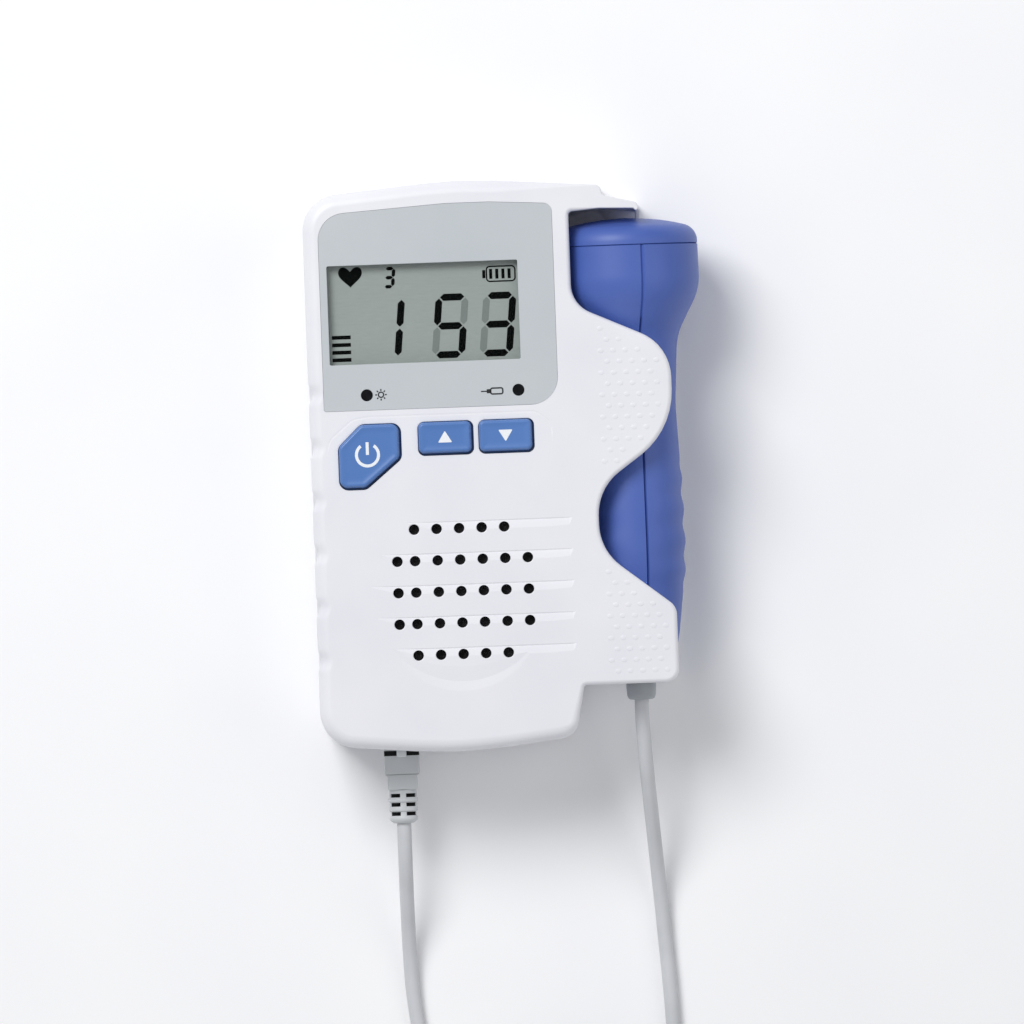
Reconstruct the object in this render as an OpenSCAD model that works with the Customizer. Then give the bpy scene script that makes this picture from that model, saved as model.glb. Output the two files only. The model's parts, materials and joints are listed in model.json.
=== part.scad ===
// Hand-held fetal doppler monitor with its probe docked in an open side pocket.
// It lies on its back: +Z points out of the display, +Y to the top of the case, +X to the probe's side.
// The origin is on the resting surface, under the middle of the case and probe. Lengths are in millimetres.

/* [Case] */
// Distance from the centre line to the case's left edge
case_left = 48.2; // [47.8:0.1:52]
// Length of the case between the crowns of its top and bottom edges
case_h = 139.2; // [138:0.1:146]
// Depth of the case from its back to its front face
case_t = 37.5; // [37.5:0.1:41]
// Thickness of the case's walls
wall = 2.4; // [2:0.1:2.6]
// Radius of the case's outer corners
corner_r = 9; // [6:0.5:10]
// Height of the seam between the rear and the front half
split_z = 17; // [15:0.5:18]
// Depth of a finger notch in the left side
notch_depth = 0.8; // [0.4:0.1:1.2]
// Height of a finger notch along the side
notch_h = 4; // [3:0.25:5]
// Spacing of the finger notches
notch_pitch = 13; // [10:0.5:13]
// Number of finger notches
notch_count = 6; // [3:1:6]

/* [Side pocket] */
// Right edge of the front wall's lobe over the probe's handle
lobe_x = 40.4; // [38:0.2:42]
// Right edge of the lower front panel and of the back wall
panel_x = 39.7; // [38:0.2:42]
// Left edge of the front wall beside the probe's head
pocket_edge_x = 16.75; // [15:0.25:18]
// Height of the right-hand panels' underside over the case's bottom edge
foot_y = 15.1; // [12.6:0.1:15.6]
// Gap between the docked probe and the pocket's walls
pocket_gap = 0.5; // [0.3:0.05:0.6]

/* [Display] */
// Left edge of the grey display panel
panel_left = -44.4; // [-44.6:0.1:-44]
// Right edge of the grey display panel
panel_right = 12.6; // [11:0.1:13]
// Distance from the case's top edge to the grey display panel's lower edge
panel_bottom = 55.1; // [54.1:0.1:55.6]
// Distance from the case's top edge to the grey display panel's upper edge
panel_top = 5.3; // [5.1:0.1:6.6]
// Thickness of the grey display panel
panel_t = 1.2; // [0.8:0.1:1.4]
// Left edge of the viewing window
view_left = -42.6; // [-43:0.1:-42]
// Width of the viewing window
view_w = 46.4; // [44:0.2:47]
// Distance from the case's top edge to the viewing window's lower edge
view_bottom = 43.9; // [43.1:0.1:44.1]
// Height of the viewing window
view_h = 24.1; // [22:0.1:24.5]
// Thickness of the liquid crystal cell
lcd_t = 2.2; // [1.8:0.1:2.6]
// Diameter of a status light
light_d = 2.75; // [2:0.05:3]

/* [Buttons] */
// Height that a button stands above the front face
button_proud = 1.2; // [0.8:0.1:1.6]
// Travel of a button
button_travel = 0.8; // [0.4:0.1:0.9]
// Gap round a button in its opening
button_gap = 0.3; // [0.2:0.05:0.35]
// Width of the up and the down button
arrow_w = 13.3; // [12:0.1:13.4]
// Height of the up and the down button
arrow_h = 8; // [7:0.1:9]
// Centre of the up button across the case
up_x = -15.2; // [-16:0.1:-15]
// Centre of the down button across the case
down_x = -0.4; // [-0.6:0.1:1]
// Distance from the case's top edge to the middle of both arrow buttons
arrow_y = 62.55; // [61.6:0.05:63.6]
// Width of the power button
power_w = 15.2; // [14:0.1:16]
// Height of the power button
power_h = 15.7; // [14.5:0.1:16]
// Centre of the power button across the case
power_x = -33.8; // [-35:0.1:-33]
// Distance from the case's top edge to the middle of the power button
power_y = 66.45; // [65.6:0.05:67.1]

/* [Speaker] */
// Centre of the speaker across the case
speaker_x = -12.66; // [-14:0.02:-12]
// Height of the speaker over the middle between the arrow buttons and the case's bottom edge
speaker_y = 2.825; // [2.5:0.025:3.2]
// Outer radius of the speaker's rim
speaker_r = 19.5; // [18:0.25:20]
// Diameter of a sound hole
hole_d = 2.45; // [1.6:0.05:3]
// Spacing of the sound holes across the case
hole_pitch_x = 5.5; // [4.5:0.1:5.6]
// Spacing of the sound holes along the case
hole_pitch_y = 7.68; // [6:0.02:7.8]

/* [Probe] */
// Distance from the centre line to the probe's axis
probe_x = 30.4; // [30.2:0.1:32]
// Largest radius of the probe's head
head_r = 17.85; // [17:0.05:18]
// Radius of the probe's neck
neck_r = 10.9; // [10.4:0.1:11.3]
// Largest radius of the probe's handle
handle_r = 11.95; // [11.4:0.05:12.1]
// Distance from the case's top edge to the top of the probe's face
face_y = 10.4; // [9.6:0.1:11.6]
// Distance along the probe from its face to the seam of its cap
cap_y = 6.7; // [6.4:0.1:8.2]
// Height of the probe's lower end over the underside of the case's right-hand panels
probe_end_y = 2.7; // [2.6:0.1:6.2]
// Turn of the shells' seam plane from the front towards the right
seam_turn = 13.3; // [0:0.1:25]
// Thickness of the probe's shells
probe_wall = 1.8; // [1.4:0.1:2]
// Radius of the neck of the probe's strain relief
relief_r = 3.65; // [3:0.05:3.7]
// Length of the strain relief's cup outside the case
relief_l = 4.1; // [3:0.1:12]

/* [Power and socket] */
// Diameter of an AA cell
cell_d = 14.2; // [13.5:0.1:14.3]
// Length of an AA cell's can
cell_l = 49.2; // [48:0.1:49.5]
// Centre of the plug and its socket across the case
plug_x = -28.8; // [-29.2:0.1:-28.6]
// Height of the plug's axis above the resting surface
plug_z = 14; // [13.5:0.25:14.5]
// Width of the plug
plug_w = 8.6; // [8:0.1:8.8]
// Thickness of the plug
plug_t = 7.8; // [7:0.1:8]
// Travel of the plug until it leaves the socket
plug_travel = 8; // [7:0.5:9]
// Diameter of the cord
cord_d = 3.5; // [3:0.1:3.6]

/* [Coil of cord] */
// Middle of the coil across the case
coil_x = 7.2; // [5:0.1:9]
// Middle of the coil along the case
coil_y = -172; // [-176:1:-171]
// Radius of the innermost half turn
coil_inner_r = 13.4; // [12:0.1:15]
// Spacing of the turns beside each other
coil_pitch = 4; // [3.95:0.05:4.2]
// Rise from the lower to the upper layer
coil_rise = 4; // [3.95:0.05:4.4]
// Number of turns, always a whole number and a half
coil_turns = 7.5; // [5.5:1:9.5]

/* [Fits] */
// Gap between parts that are fitted by hand
fit = 0.15; // [0.1:0.05:0.25]
// Radial gap of a pin or shank in its hole
pin_gap = 0.05; // [0.03:0.01:0.1]

/* [Hidden] */
$fn = 64;

// --- Geometry helpers -------------------------------------------------------------------------

arc_step = 9;      // largest turn between two points of a rounded corner, in degrees
through = 1;       // how far a cut runs past the face that it opens

function unit(v) = v / norm(v);
function plan(v) = [v[0], v[1]];
function turn_of(a, b) = a[0] * b[1] - a[1] * b[0];
function next(path, i, by) = path[(i + by + len(path)) % len(path)];

// Points of the arc that rounds the corner q between p and r.
function corner_arc(p, q, r, radius) =
    radius <= 0 ? [q] :
    let (
        back = unit(p - q),
        ahead = unit(r - q),
        half = acos(back * ahead) / 2,
        centre = q + unit(back + ahead) * radius / sin(half),
        first = q + back * radius / tan(half) - centre,
        start = atan2(first[1], first[0]),
        swing = (180 - 2 * half) * (turn_of(-back, ahead) > 0 ? 1 : -1),
        steps = max(1, ceil(abs(swing) / arc_step))
    )
    [for (k = [0:steps]) centre + radius * [cos(start + swing * k / steps), sin(start + swing * k / steps)]];

// A closed outline from corners of the form [x, y, radius].
function rounded(path) = [
    for (i = [0:len(path) - 1])
        each corner_arc(plan(next(path, i, -1)), plan(path[i]), plan(next(path, i, 1)), path[i][2])
];

// The same corners, moved inwards by d. The corners run clockwise.
function inset(path, d) = [
    for (i = [0:len(path) - 1])
        let (
            a = unit(plan(path[i]) - plan(next(path, i, -1))),
            b = unit(plan(next(path, i, 1)) - plan(path[i])),
            na = [a[1], -a[0]],
            nb = [b[1], -b[0]],
            move = (na + nb) * d / (1 + na * nb),
            radius = path[i][2] == 0 ? 0 : max(0, path[i][2] + (turn_of(a, b) < 0 ? -d : d))
        )
        [path[i][0] + move[0], path[i][1] + move[1], radius]
];

function box_corners(x0, y0, x1, y1, r) = [[x0, y1, r], [x1, y1, r], [x1, y0, r], [x0, y0, r]];

module slab(path, z0, z1) {
    translate([0, 0, z0]) linear_extrude(z1 - z0) polygon(rounded(path));
}

module block(x0, y0, z0, x1, y1, z1) {
    translate([x0, y0, z0]) cube([x1 - x0, y1 - y0, z1 - z0]);
}

module post(x, y, z0, z1, r) {
    translate([x, y, z0]) cylinder(h = z1 - z0, r = r);
}

// --- Places that pieces share -----------------------------------------------------------------

case_top = case_h / 2;
case_bottom = -case_h / 2;
panel_high = case_top - panel_top;
panel_low = case_top - panel_bottom;
light_y = panel_low + 3.65;
view_right = view_left + view_w;
view_low = case_top - view_bottom;
view_high = view_low + view_h;
view_mid_x = (view_left + view_right) / 2;
view_mid_y = (view_low + view_high) / 2;
arrow_mid = case_top - arrow_y;
arrow_low = arrow_mid - arrow_h / 2;
arrow_right = down_x + arrow_w / 2;
power_mid = case_top - power_y;
power_left = power_x - power_w / 2;
power_right = power_x + power_w / 2;
power_low = power_mid - power_h / 2;
power_high = power_mid + power_h / 2;
speaker_mid = (arrow_low + case_bottom) / 2 + speaker_y;

// --- Case outlines ----------------------------------------------------------------------------

crown_r = 110;                     // rounding of the crowns of the top and bottom edges
crown_top_x = -10;
crown_bottom_x = -14;
crown_drop_left = 3.45;            // from the top crown down to the left corner
crown_drop_right = 2.6;            // from the top crown down to the lip
crown_lift_left = 3.2;             // from the bottom crown up to the left corner
crown_lift_right = 3.3;            // from the bottom crown up to the foot
lip_x = 24.7;                      // where the front face steps down to the lip over the head
foot_x = 14.2;                     // right side of the case below the pocket
step_x = 16.5;

function crown_over(left_run, left_drop, right_run, right_drop) =
    crown_r * (1 / cos((atan(left_drop / left_run) + atan(right_drop / right_run)) / 2) - 1);

crown_top_y = case_top
    + crown_over(crown_top_x + case_left, crown_drop_left, lip_x - crown_top_x, crown_drop_right);
crown_bottom_y = case_bottom
    - crown_over(crown_bottom_x + case_left, crown_lift_left, foot_x - crown_bottom_x, crown_lift_right);
top_left = [-case_left, crown_top_y - crown_drop_left, corner_r];
bottom_left = [-case_left, crown_bottom_y + crown_lift_left, corner_r];
foot_corner = [foot_x, crown_bottom_y + crown_lift_right, 5];
crown_top = [crown_top_x, crown_top_y, crown_r];
crown_bottom = [crown_bottom_x, crown_bottom_y, crown_r];
top_slope = crown_drop_right / (lip_x - crown_top_x);
function top_edge_y(x) = crown_top_y - top_slope * (x - crown_top_x);

// The lip hooks over the probe's head and clears its face as the probe slides out.
probe_face = case_top - face_y;
lip_gap = 2.4;                     // between the probe's face and the lip
lip_under_y = probe_face + lip_gap;
foot_low = case_bottom + foot_y;
probe_end = foot_low + probe_end_y;
lip_nose = [[33.9, lip_under_y + 1.1, 1.4], [33.7, lip_under_y - 1.4, 0.5], [32.6, lip_under_y - 0.2, 0.6]];
lip_top = [[lip_x, top_edge_y(lip_x), 1.6], [lip_x + 0.4, lip_under_y + 3.3, 1]];

// The front wall's wavy right edge: pocket edge, lobe, finger bite, lower panel. A corner's place is a
// part of the way from the lip down to the foot, and on a short way its rounding shrinks to fit.
bite_x = 21.5;
wave_way = lip_under_y - foot_low;
full_way = 116;
function wave_corner(x, part, r) = [x, lip_under_y - part * wave_way, r * min(1, wave_way / full_way)];
wave = [
    [pocket_edge_x, lip_under_y - 0.5, 1],
    wave_corner(pocket_edge_x, 0.2, 7.5),
    wave_corner(lobe_x, 0.292, 12),
    wave_corner(lobe_x, 0.471, 19.5),
    wave_corner(bite_x, 0.588, 13),
    wave_corner(bite_x, 0.718, 13),
    wave_corner(panel_x, 0.842, 4)
];
foot = [[panel_x, foot_low, 3.2], [step_x, foot_low, 0.8], foot_corner, crown_bottom, bottom_left];
front_outline = concat([top_left, crown_top], lip_top, lip_nose, [[24, lip_under_y + 0.1, 10]], wave, foot);
head_l = 17.7;                     // from the probe's face to the end of its head
cone_l = 11.3;                     // from there down to its neck
head_step = 5.5;                   // how far the back wall keeps clear of the probe's head
rear_outline = concat(
    [top_left, crown_top],
    lip_top,
    [
        [panel_x - head_step, lip_under_y + 1.1, 1.6],
        [panel_x - head_step, probe_face - head_l + 2.5, 18],
        [panel_x, probe_face - head_l - cone_l - 2.2, 18]
    ],
    foot
);

// The walled bay that holds the works. Its right wall follows the docked probe.
probe_z = wall + pocket_gap + head_r;
head_wall_x = probe_x - head_r - pocket_gap;
handle_wall_x = probe_x - handle_r - pocket_gap;
cone_top_y = probe_face - head_l - 5;
cone_bottom_y = probe_face - head_l - cone_l - 0.2;
bay = [
    top_left,
    crown_top,
    [head_wall_x, top_edge_y(head_wall_x), 0],
    [head_wall_x, cone_top_y, 3],
    [handle_wall_x, cone_bottom_y, 3],
    [handle_wall_x, foot_low, 0],
    [step_x, foot_low, 0],
    foot_corner,
    crown_bottom,
    bottom_left
];
bay_inner = inset(bay, wall);
inner_left = -case_left + wall;
front_under = case_t - wall;       // underside of the front wall
relief_gap = 0.5;

// The pocket that holds the probe, open to the right.
pocket_low_y = probe_end - pocket_gap;
pocket = [
    [head_wall_x, lip_under_y - 2, 0],
    [2 * panel_x, lip_under_y - 2, 0],
    [2 * panel_x, pocket_low_y, 0],
    [handle_wall_x, pocket_low_y, 0],
    [handle_wall_x, cone_bottom_y, 3],
    [head_wall_x, cone_top_y, 3]
];

// Walls that stand between the back wall and the front wall, from z0 to z1.
module side_walls(z0, z1) {
    difference() {
        slab(front_outline, z0, z1);
        slab(bay_inner, z0 - through, z1 + through);
        slab(pocket, z0 - through, z1 + through);
    }
}

module finger_notches() {
    last_y = case_bottom + 23.3;
    r = (notch_h * notch_h / 4 + notch_depth * notch_depth) / (2 * notch_depth);
    for (i = [0:notch_count - 1])
        post(-case_left + notch_depth - r, last_y + i * notch_pitch, split_z / 3, case_t + through, r);
}

// Way out for the strain relief through the pocket's lower wall, open to the right.
module relief_way() {
    half = relief_r + relief_gap;
    block(probe_x - half, foot_low - 2, probe_z - half, panel_x + 2, probe_end, probe_z + half);
}

socket_way_w = plug_w + 0.6;
module socket_way() {
    top = plug_z + plug_t / 2 + latch_h + 0.8;
    block(
        plug_x - socket_way_w / 2, -case_h, plug_z - plug_t / 2 - 0.3,
        plug_x + socket_way_w / 2, socket_face_y, top
    );
}

// --- Case -------------------------------------------------------------------------------------

screw_r = 1.45;
screw_head_r = 2.75;
screw_boss_r = 3.3;
screw_seat_z = 5;
screw_tip = 9;                     // how far a screw reaches past the seam
screw_in = 9.6;                    // from the top and the bottom edge to the outer screws
screws = [
    [inner_left + 5.3, case_top - screw_in],
    [head_wall_x - wall - 4.2, case_top - screw_in + 1],
    [inner_left + 4.8, case_bottom + screw_in],
    [handle_wall_x - wall - 3.6, arrow_mid - 5.55]
];

board_z = 26.9;
board_t = 1.6;
board_top = board_z + board_t;
post_in = 3.4;                     // from the left wall to the board's posts
board_posts = [
    [inner_left + post_in, power_low - 3.7],
    [arrow_right - 1.75, power_low - 1.3],
    [inner_left + post_in, light_y - 1.35],
    [view_mid_x + 7.4, light_y - 1.25]
];
board_screw_r = 0.95;

module front_case() color("whitesmoke") difference() {
    union() {
        slab(front_outline, front_under, case_t);
        side_walls(split_z, front_under);
        for (s = screws) post(s[0], s[1], split_z, front_under, screw_boss_r);
        for (p = board_posts) post(p[0], p[1], board_top, front_under, 2.3);
        difference() {
            post(speaker_x, speaker_mid, speaker_rim_z - 2, front_under, speaker_r + fit + 1.4);
            post(speaker_x, speaker_mid, speaker_rim_z - 3, front_under, speaker_r + fit);
        }
    }
    slab(inset(display_outline, -fit), case_t - panel_t - 0.1, case_t + through);
    slab(inset(view_outline, -0.6), front_under - through, case_t);
    for (path = button_paths) slab(inset(path, -button_gap), front_under - through, case_t + through);
    for (x = light_x) post(x, light_y, front_under - through, case_t, light_d / 2 + fit);
    for (h = sound_holes) post(h[0], h[1], front_under - through, case_t + through, hole_d / 2);
    for (s = screws) post(s[0], s[1], split_z - through, split_z + screw_tip + 1, screw_r + pin_gap);
    for (p = board_posts) post(p[0], p[1], board_top - through, board_top + 5, board_screw_r + pin_gap);
    finger_notches();
    relief_way();
    socket_way();
}

tub_wall = 1.4;
// The cells lie side by side behind a cover that slides off past the bottom edge.
cell_gap = 0.5;
cells_x = -4.6;                    // middle of the pair of cells
contact_t = 0.5;
spring_l = 4.2;
nipple_l = 1.1;
bay_bottom = case_bottom + 8.1;
bay_top = bay_bottom + cell_l + nipple_l + spring_l + 2 * contact_t;
bay_left = cells_x - cell_d - 1.5 * cell_gap;
bay_right = cells_x + cell_d + 1.5 * cell_gap;
cover_t = 1.7;
cover_x0 = bay_left - tub_wall / 2;
cover_x1 = bay_right + tub_wall / 2;
cover_y1 = bay_top + 1.2;
tongue_w = 1;
tongue_z = [0.7, 1.5];             // underside and top of the cover's side tongues
tub_top = cover_t + fit + cell_d + 1.2;
saddle_y = [probe_end + 13.8, probe_end + 47.8, cone_bottom_y - 8];

module rear_case() color("whitesmoke") difference() {
    union() {
        slab(rear_outline, 0, wall);
        side_walls(wall, split_z);
        // saddles under the probe's handle
        for (y = saddle_y) block(
            handle_wall_x - 0.5, y - 1.2, wall - 0.5,
            panel_x - 1, y + 1.2, probe_z - handle_r - pocket_gap
        );
        for (s = screws) post(s[0], s[1], wall - 0.5, split_z, screw_boss_r);
        // roofed tub for the cells, open at the back
        block(
            bay_left - tub_wall, bay_bottom - tub_wall, 0,
            bay_right + tub_wall, bay_top + tub_wall, tub_top + tub_wall
        );
        // pedestal under the socket
        block(plug_x - 5, socket_face_y + 1, wall - 0.5, plug_x + 5, socket_back_y - 1, socket_z0);
        // sill over the cover's way out
        block(cover_x0 - 2, bay_bottom - 5.5, wall - 0.5, cover_x1 + 2, bay_bottom, wall + 1.2);
    }
    block(bay_left, bay_bottom, -through, bay_right, bay_top, tub_top);
    // way for the battery cover, open at the bottom edge
    block(cover_x0 - fit, -case_h, -through, cover_x1 + fit, cover_y1 + fit, cover_t + fit);
    block(
        cover_x0 - tongue_w - fit, -case_h, tongue_z[0] - fit,
        cover_x1 + tongue_w + fit, cover_y1 + fit, tongue_z[1] + fit
    );
    for (s = screws) {
        post(s[0], s[1], -through, screw_seat_z, screw_head_r + 0.3);
        post(s[0], s[1], 0, split_z + through, screw_r + 0.2);
    }
    finger_notches();
    relief_way();
    socket_way();
}

module battery_cover() color("whitesmoke") difference() {
    intersection() {
        slab(rear_outline, 0, cover_t);
        union() {
            block(cover_x0, -case_h, -through, cover_x1, cover_y1, cover_t + through);
            block(cover_x0 - tongue_w, -case_h, tongue_z[0], cover_x1 + tongue_w, cover_y1, tongue_z[1]);
        }
    }
    // thumb grooves across the cover
    for (i = [0:4])
        block(cells_x - 8, bay_bottom + 4 + 2.4 * i, -through, cells_x + 8, bay_bottom + 5 + 2.4 * i, 0.5);
}

cell_z = cover_t + fit + cell_d / 2;
cell_x = [cells_x - (cell_d + cell_gap) / 2, cells_x + (cell_d + cell_gap) / 2];
// One cell: its can, and the nipple at the end that has no spring.
module cell(x, up) {
    can_y = bay_bottom + contact_t + (up ? spring_l : nipple_l);
    translate([x, can_y, cell_z]) rotate([-90, 0, 0]) cylinder(h = cell_l, d = cell_d);
    translate([x, up ? can_y + cell_l : can_y - nipple_l, cell_z])
        rotate([-90, 0, 0]) cylinder(h = nipple_l, d = 5.2);
}
module battery_left() color("dimgray") cell(cell_x[0], true);
module battery_right() color("dimgray") cell(cell_x[1], false);

module battery_contacts() color("silver") {
    contact_w = 9;
    for (i = [0, 1]) {
        spring_at_bottom = i == 0;
        for (low = [true, false]) {
            y0 = low ? bay_bottom : bay_top - contact_t;
            block(
                cell_x[i] - contact_w / 2, y0, cell_z - contact_w / 2,
                cell_x[i] + contact_w / 2, y0 + contact_t, cell_z + contact_w / 2
            );
            if (low == spring_at_bottom)
                translate([cell_x[i], low ? y0 + contact_t : y0, cell_z])
                    rotate([low ? -90 : 90, 0, 0]) cylinder(h = spring_l, r1 = 3.6, r2 = 2.2);
        }
    }
}

module case_screws() color("silver") for (s = screws) {
    difference() {
        post(s[0], s[1], screw_seat_z - 2.2, screw_seat_z, screw_head_r);
        block(s[0] - 0.35, s[1] - 1.7, 0, s[0] + 0.35, s[1] + 1.7, screw_seat_z - 1.2);
        block(s[0] - 1.7, s[1] - 0.35, 0, s[0] + 1.7, s[1] + 0.35, screw_seat_z - 1.2);
    }
    post(s[0], s[1], screw_seat_z, split_z + screw_tip, screw_r);
}

// --- Display ----------------------------------------------------------------------------------

display_outline = [
    [panel_left, panel_high - 2.1, 6.5],
    [crown_top_x + 2, panel_high + 0.1, 90],
    [panel_right, panel_high - 1.1, 2],
    [panel_right, panel_low, 6.5],
    [panel_left, panel_low, 0.4]
];
view_outline = box_corners(view_left, view_low, view_right, view_high, 0.4);
light_x = [-33.9, 3];
lcd_top = front_under - 0.4;
lcd_over = 3.2;                    // how far the glass reaches past the window, above and below
lcd_outline = box_corners(view_left - 1.6, view_low - lcd_over, view_right + 2.1, view_high + lcd_over, 0.3);
holder_wall = 1;

module display_panel() color("silver") difference() {
    slab(display_outline, case_t - panel_t - 0.1, case_t - 0.1);
    slab(view_outline, case_t - panel_t - through, case_t + through);
    for (x = light_x) post(x, light_y, case_t - panel_t - through, case_t + through, light_d / 2 + pin_gap);
}

module display_lens() color("white", 0.3)
    slab(inset(view_outline, -0.6 + fit), front_under - 0.3, case_t - panel_t - 0.15);

module lcd_glass() color("darkseagreen") slab(lcd_outline, lcd_top - lcd_t, lcd_top);

module lcd_holder() color("ivory") difference() {
    slab(inset(lcd_outline, -holder_wall), board_top, lcd_top - 0.2);
    slab(inset(lcd_outline, -fit), lcd_top - lcd_t, lcd_top + through);
    // light box under the glass
    slab(inset(lcd_outline, 1.2), board_top + 1, lcd_top);
    // slot for the contact strip along the glass's lower edge
    block(
        view_left - 1, strip_y - strip_w / 2 - fit, board_top - through,
        view_right + 1, strip_y + strip_w / 2 + fit, lcd_top
    );
}
strip_w = 1.6;
strip_y = view_low - 2.4;

module backlight_plate() color("white")
    slab(
        box_corners(view_left, view_low - 1, view_right, view_high + 1, 0.3),
        board_top + 1, lcd_top - lcd_t - 0.1
    );

module contact_strip() color("hotpink")
    block(view_left, strip_y - strip_w / 2, board_top, view_right, strip_y + strip_w / 2, lcd_top - lcd_t);

led_t = 1.6;
module status_lights() color("black") for (x = light_x) {
    post(x, light_y, board_top + led_t + 0.3, case_t, light_d / 2);
    post(x, light_y, front_under - 1.2, front_under - 0.05, light_d / 2 + 0.8);
}
module status_leds() color("white") for (x = light_x)
    block(x - 1.2, light_y - 0.9, board_top, x + 1.2, light_y + 0.9, board_top + led_t);

// --- Buttons ----------------------------------------------------------------------------------

power_corner_r = 2.2;
power_path = [
    [power_left + 5.6, power_high, power_corner_r],
    [power_right, power_high, power_corner_r],
    [power_right, power_low + 7.2, power_corner_r],
    [power_right - 8.7, power_low, power_corner_r],
    [power_left, power_low, power_corner_r],
    [power_left, power_high - 5.4, power_corner_r]
];
function arrow_path(x) = box_corners(x - arrow_w / 2, arrow_low, x + arrow_w / 2, arrow_low + arrow_h, 1.5);
button_paths = [power_path, arrow_path(up_x), arrow_path(down_x)];
flange_gap = 0.15;
flange_top = front_under - flange_gap;
flange_t = 1;
flange_w = 0.35;                   // how far the flange reaches past its opening
switch_h = 3.4;
switch_w = 6;
plunger_r = 1.75;
plunger_sunk = 2;

// A key cap with a flange under the front wall that keeps it from falling out.
module key(path) {
    slab(path, flange_top - flange_t, case_t + button_proud);
    slab(inset(path, -button_gap - flange_w), flange_top - flange_t, flange_top);
}
module power_button() color("cornflowerblue") key(power_path);
module up_button() color("cornflowerblue") key(arrow_path(up_x));
module down_button() color("cornflowerblue") key(arrow_path(down_x));

switch_at = [[power_x, power_mid], [up_x, arrow_mid], [down_x, arrow_mid]];
switch_top = board_top + switch_h;
module tact_switches() color("dimgray") for (s = switch_at) difference() {
    block(
        s[0] - switch_w / 2, s[1] - switch_w / 2, board_top,
        s[0] + switch_w / 2, s[1] + switch_w / 2, switch_top
    );
    post(
        s[0], s[1], switch_top - plunger_sunk - button_travel - 0.3,
        switch_top + through, plunger_r + pin_gap
    );
}
module plunger(s) color("black")
    post(s[0], s[1], switch_top - plunger_sunk, flange_top - flange_t, plunger_r);
module power_plunger() plunger(switch_at[0]);
module up_plunger() plunger(switch_at[1]);
module down_plunger() plunger(switch_at[2]);

// --- Board ------------------------------------------------------------------------------------

board_gap = 0.6;                   // between the board and the left wall
board_over = 2.4;                  // how far the board reaches past the display's holder
board_outline = box_corners(
    inner_left + board_gap, power_low - 6.3,
    view_right + 4.2, view_high + lcd_over + holder_wall + board_over, 1
);
module main_board() color("seagreen") difference() {
    slab(board_outline, board_z, board_top);
    for (p = board_posts) post(p[0], p[1], board_z - through, board_top + through, board_screw_r + 0.2);
}
module board_screws() color("silver") for (p = board_posts) {
    post(p[0], p[1], board_z - 1.4, board_z, 1.9);
    post(p[0], p[1], board_z, board_top + 4.5, board_screw_r);
}
// Chips: place from the window's middle, then width, length and thickness
chips = [
    [-10.6, 2.25, 12, 12, 1.4], [7.4, 4.25, 8, 8, 1.2],
    [-4.6, -23.75, 9, 6, 1.6], [17.4, -9.75, 5, 6.5, 1.5]
];
module board_chips() color("black") translate([view_mid_x, view_mid_y, board_z]) for (c = chips)
    block(c[0] - c[2] / 2, c[1] - c[3] / 2, -c[4], c[0] + c[2] / 2, c[1] + c[3] / 2, 0);
// Capacitors: place from the window's middle, then radius and length
capacitors = [[-18.6, -13.75, 3.15, 6], [11.4, -31.75, 3.15, 6], [21.4, 8.25, 2.5, 5]];
module board_capacitors() color("navy") translate([view_mid_x, view_mid_y, board_z]) for (c = capacitors)
    post(c[0], c[1], -c[3], 0, c[2]);

// --- Speaker ----------------------------------------------------------------------------------

cloth_t = 0.4;
speaker_rim_t = 1.6;
speaker_rim_z = front_under - cloth_t - speaker_rim_t;
speaker_depth = 5.6;               // from the rim down to the magnet
magnet_r = 9;
magnet_t = 4.2;
basket_t = 0.8;
cone_r = speaker_r - 2.6;
cone_low_r = 5;
cone_depth = 4.2;

outer_column = -15.34;             // the left outer column stands closer than the others
sound_holes = [
    for (row = [-2:2], column = [-2:2])
        [speaker_x + column * hole_pitch_x, speaker_mid - row * hole_pitch_y],
    for (row = [-1:1], side = [outer_column, 3 * hole_pitch_x])
        [speaker_x + side, speaker_mid - row * hole_pitch_y]
];

module speaker_part(z) {
    translate([speaker_x, speaker_mid, z]) children();
}
module speaker_basket() color("gray") speaker_part(speaker_rim_z) rotate_extrude() polygon([
    [0, -speaker_depth], [magnet_r + 1.5, -speaker_depth], [cone_r + 0.9, 0], [speaker_r, 0],
    [speaker_r, speaker_rim_t], [cone_r, speaker_rim_t], [cone_r, 0],
    [magnet_r + 0.7, basket_t - speaker_depth], [0, basket_t - speaker_depth]
]);
module speaker_magnet() color("dimgray") speaker_part(speaker_rim_z - speaker_depth - magnet_t)
    cylinder(h = magnet_t, r = magnet_r);
module speaker_cone() color("black") speaker_part(speaker_rim_z + 0.3) rotate_extrude() polygon([
    [0, -cone_depth], [cone_low_r, -cone_depth], [cone_r - 0.2, 0], [cone_r - 0.2, 0.6], [cone_r - 0.6, 0.6],
    [cone_low_r - 0.3, 0.6 - cone_depth], [0, 0.6 - cone_depth]
]);
module speaker_cloth() color("black")
    post(speaker_x, speaker_mid, front_under - cloth_t, front_under, speaker_r);

// --- Socket, plug and cord --------------------------------------------------------------------

latch_h = 1.1;
latch_w = 2.4;
socket_face_y = case_bottom + 4.8; // mouth of the socket, inside the case's bottom wall
socket_back_y = socket_face_y + plug_travel + 4.3;
socket_side = 1.5;
socket_z0 = plug_z - plug_t / 2 - socket_side - 0.2;
plug_in = plug_travel;             // how deep the plug sits in the socket
plug_front_y = socket_face_y + plug_in;
plug_end_y = case_bottom - 5.3;    // end of the wide block
plug_neck_end_y = plug_end_y - 3.8;
boot_end_y = plug_neck_end_y - 8.1;
plug_neck_w = 7.3;
plug_neck_t = 6.6;
boot_r = 3.7;

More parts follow.
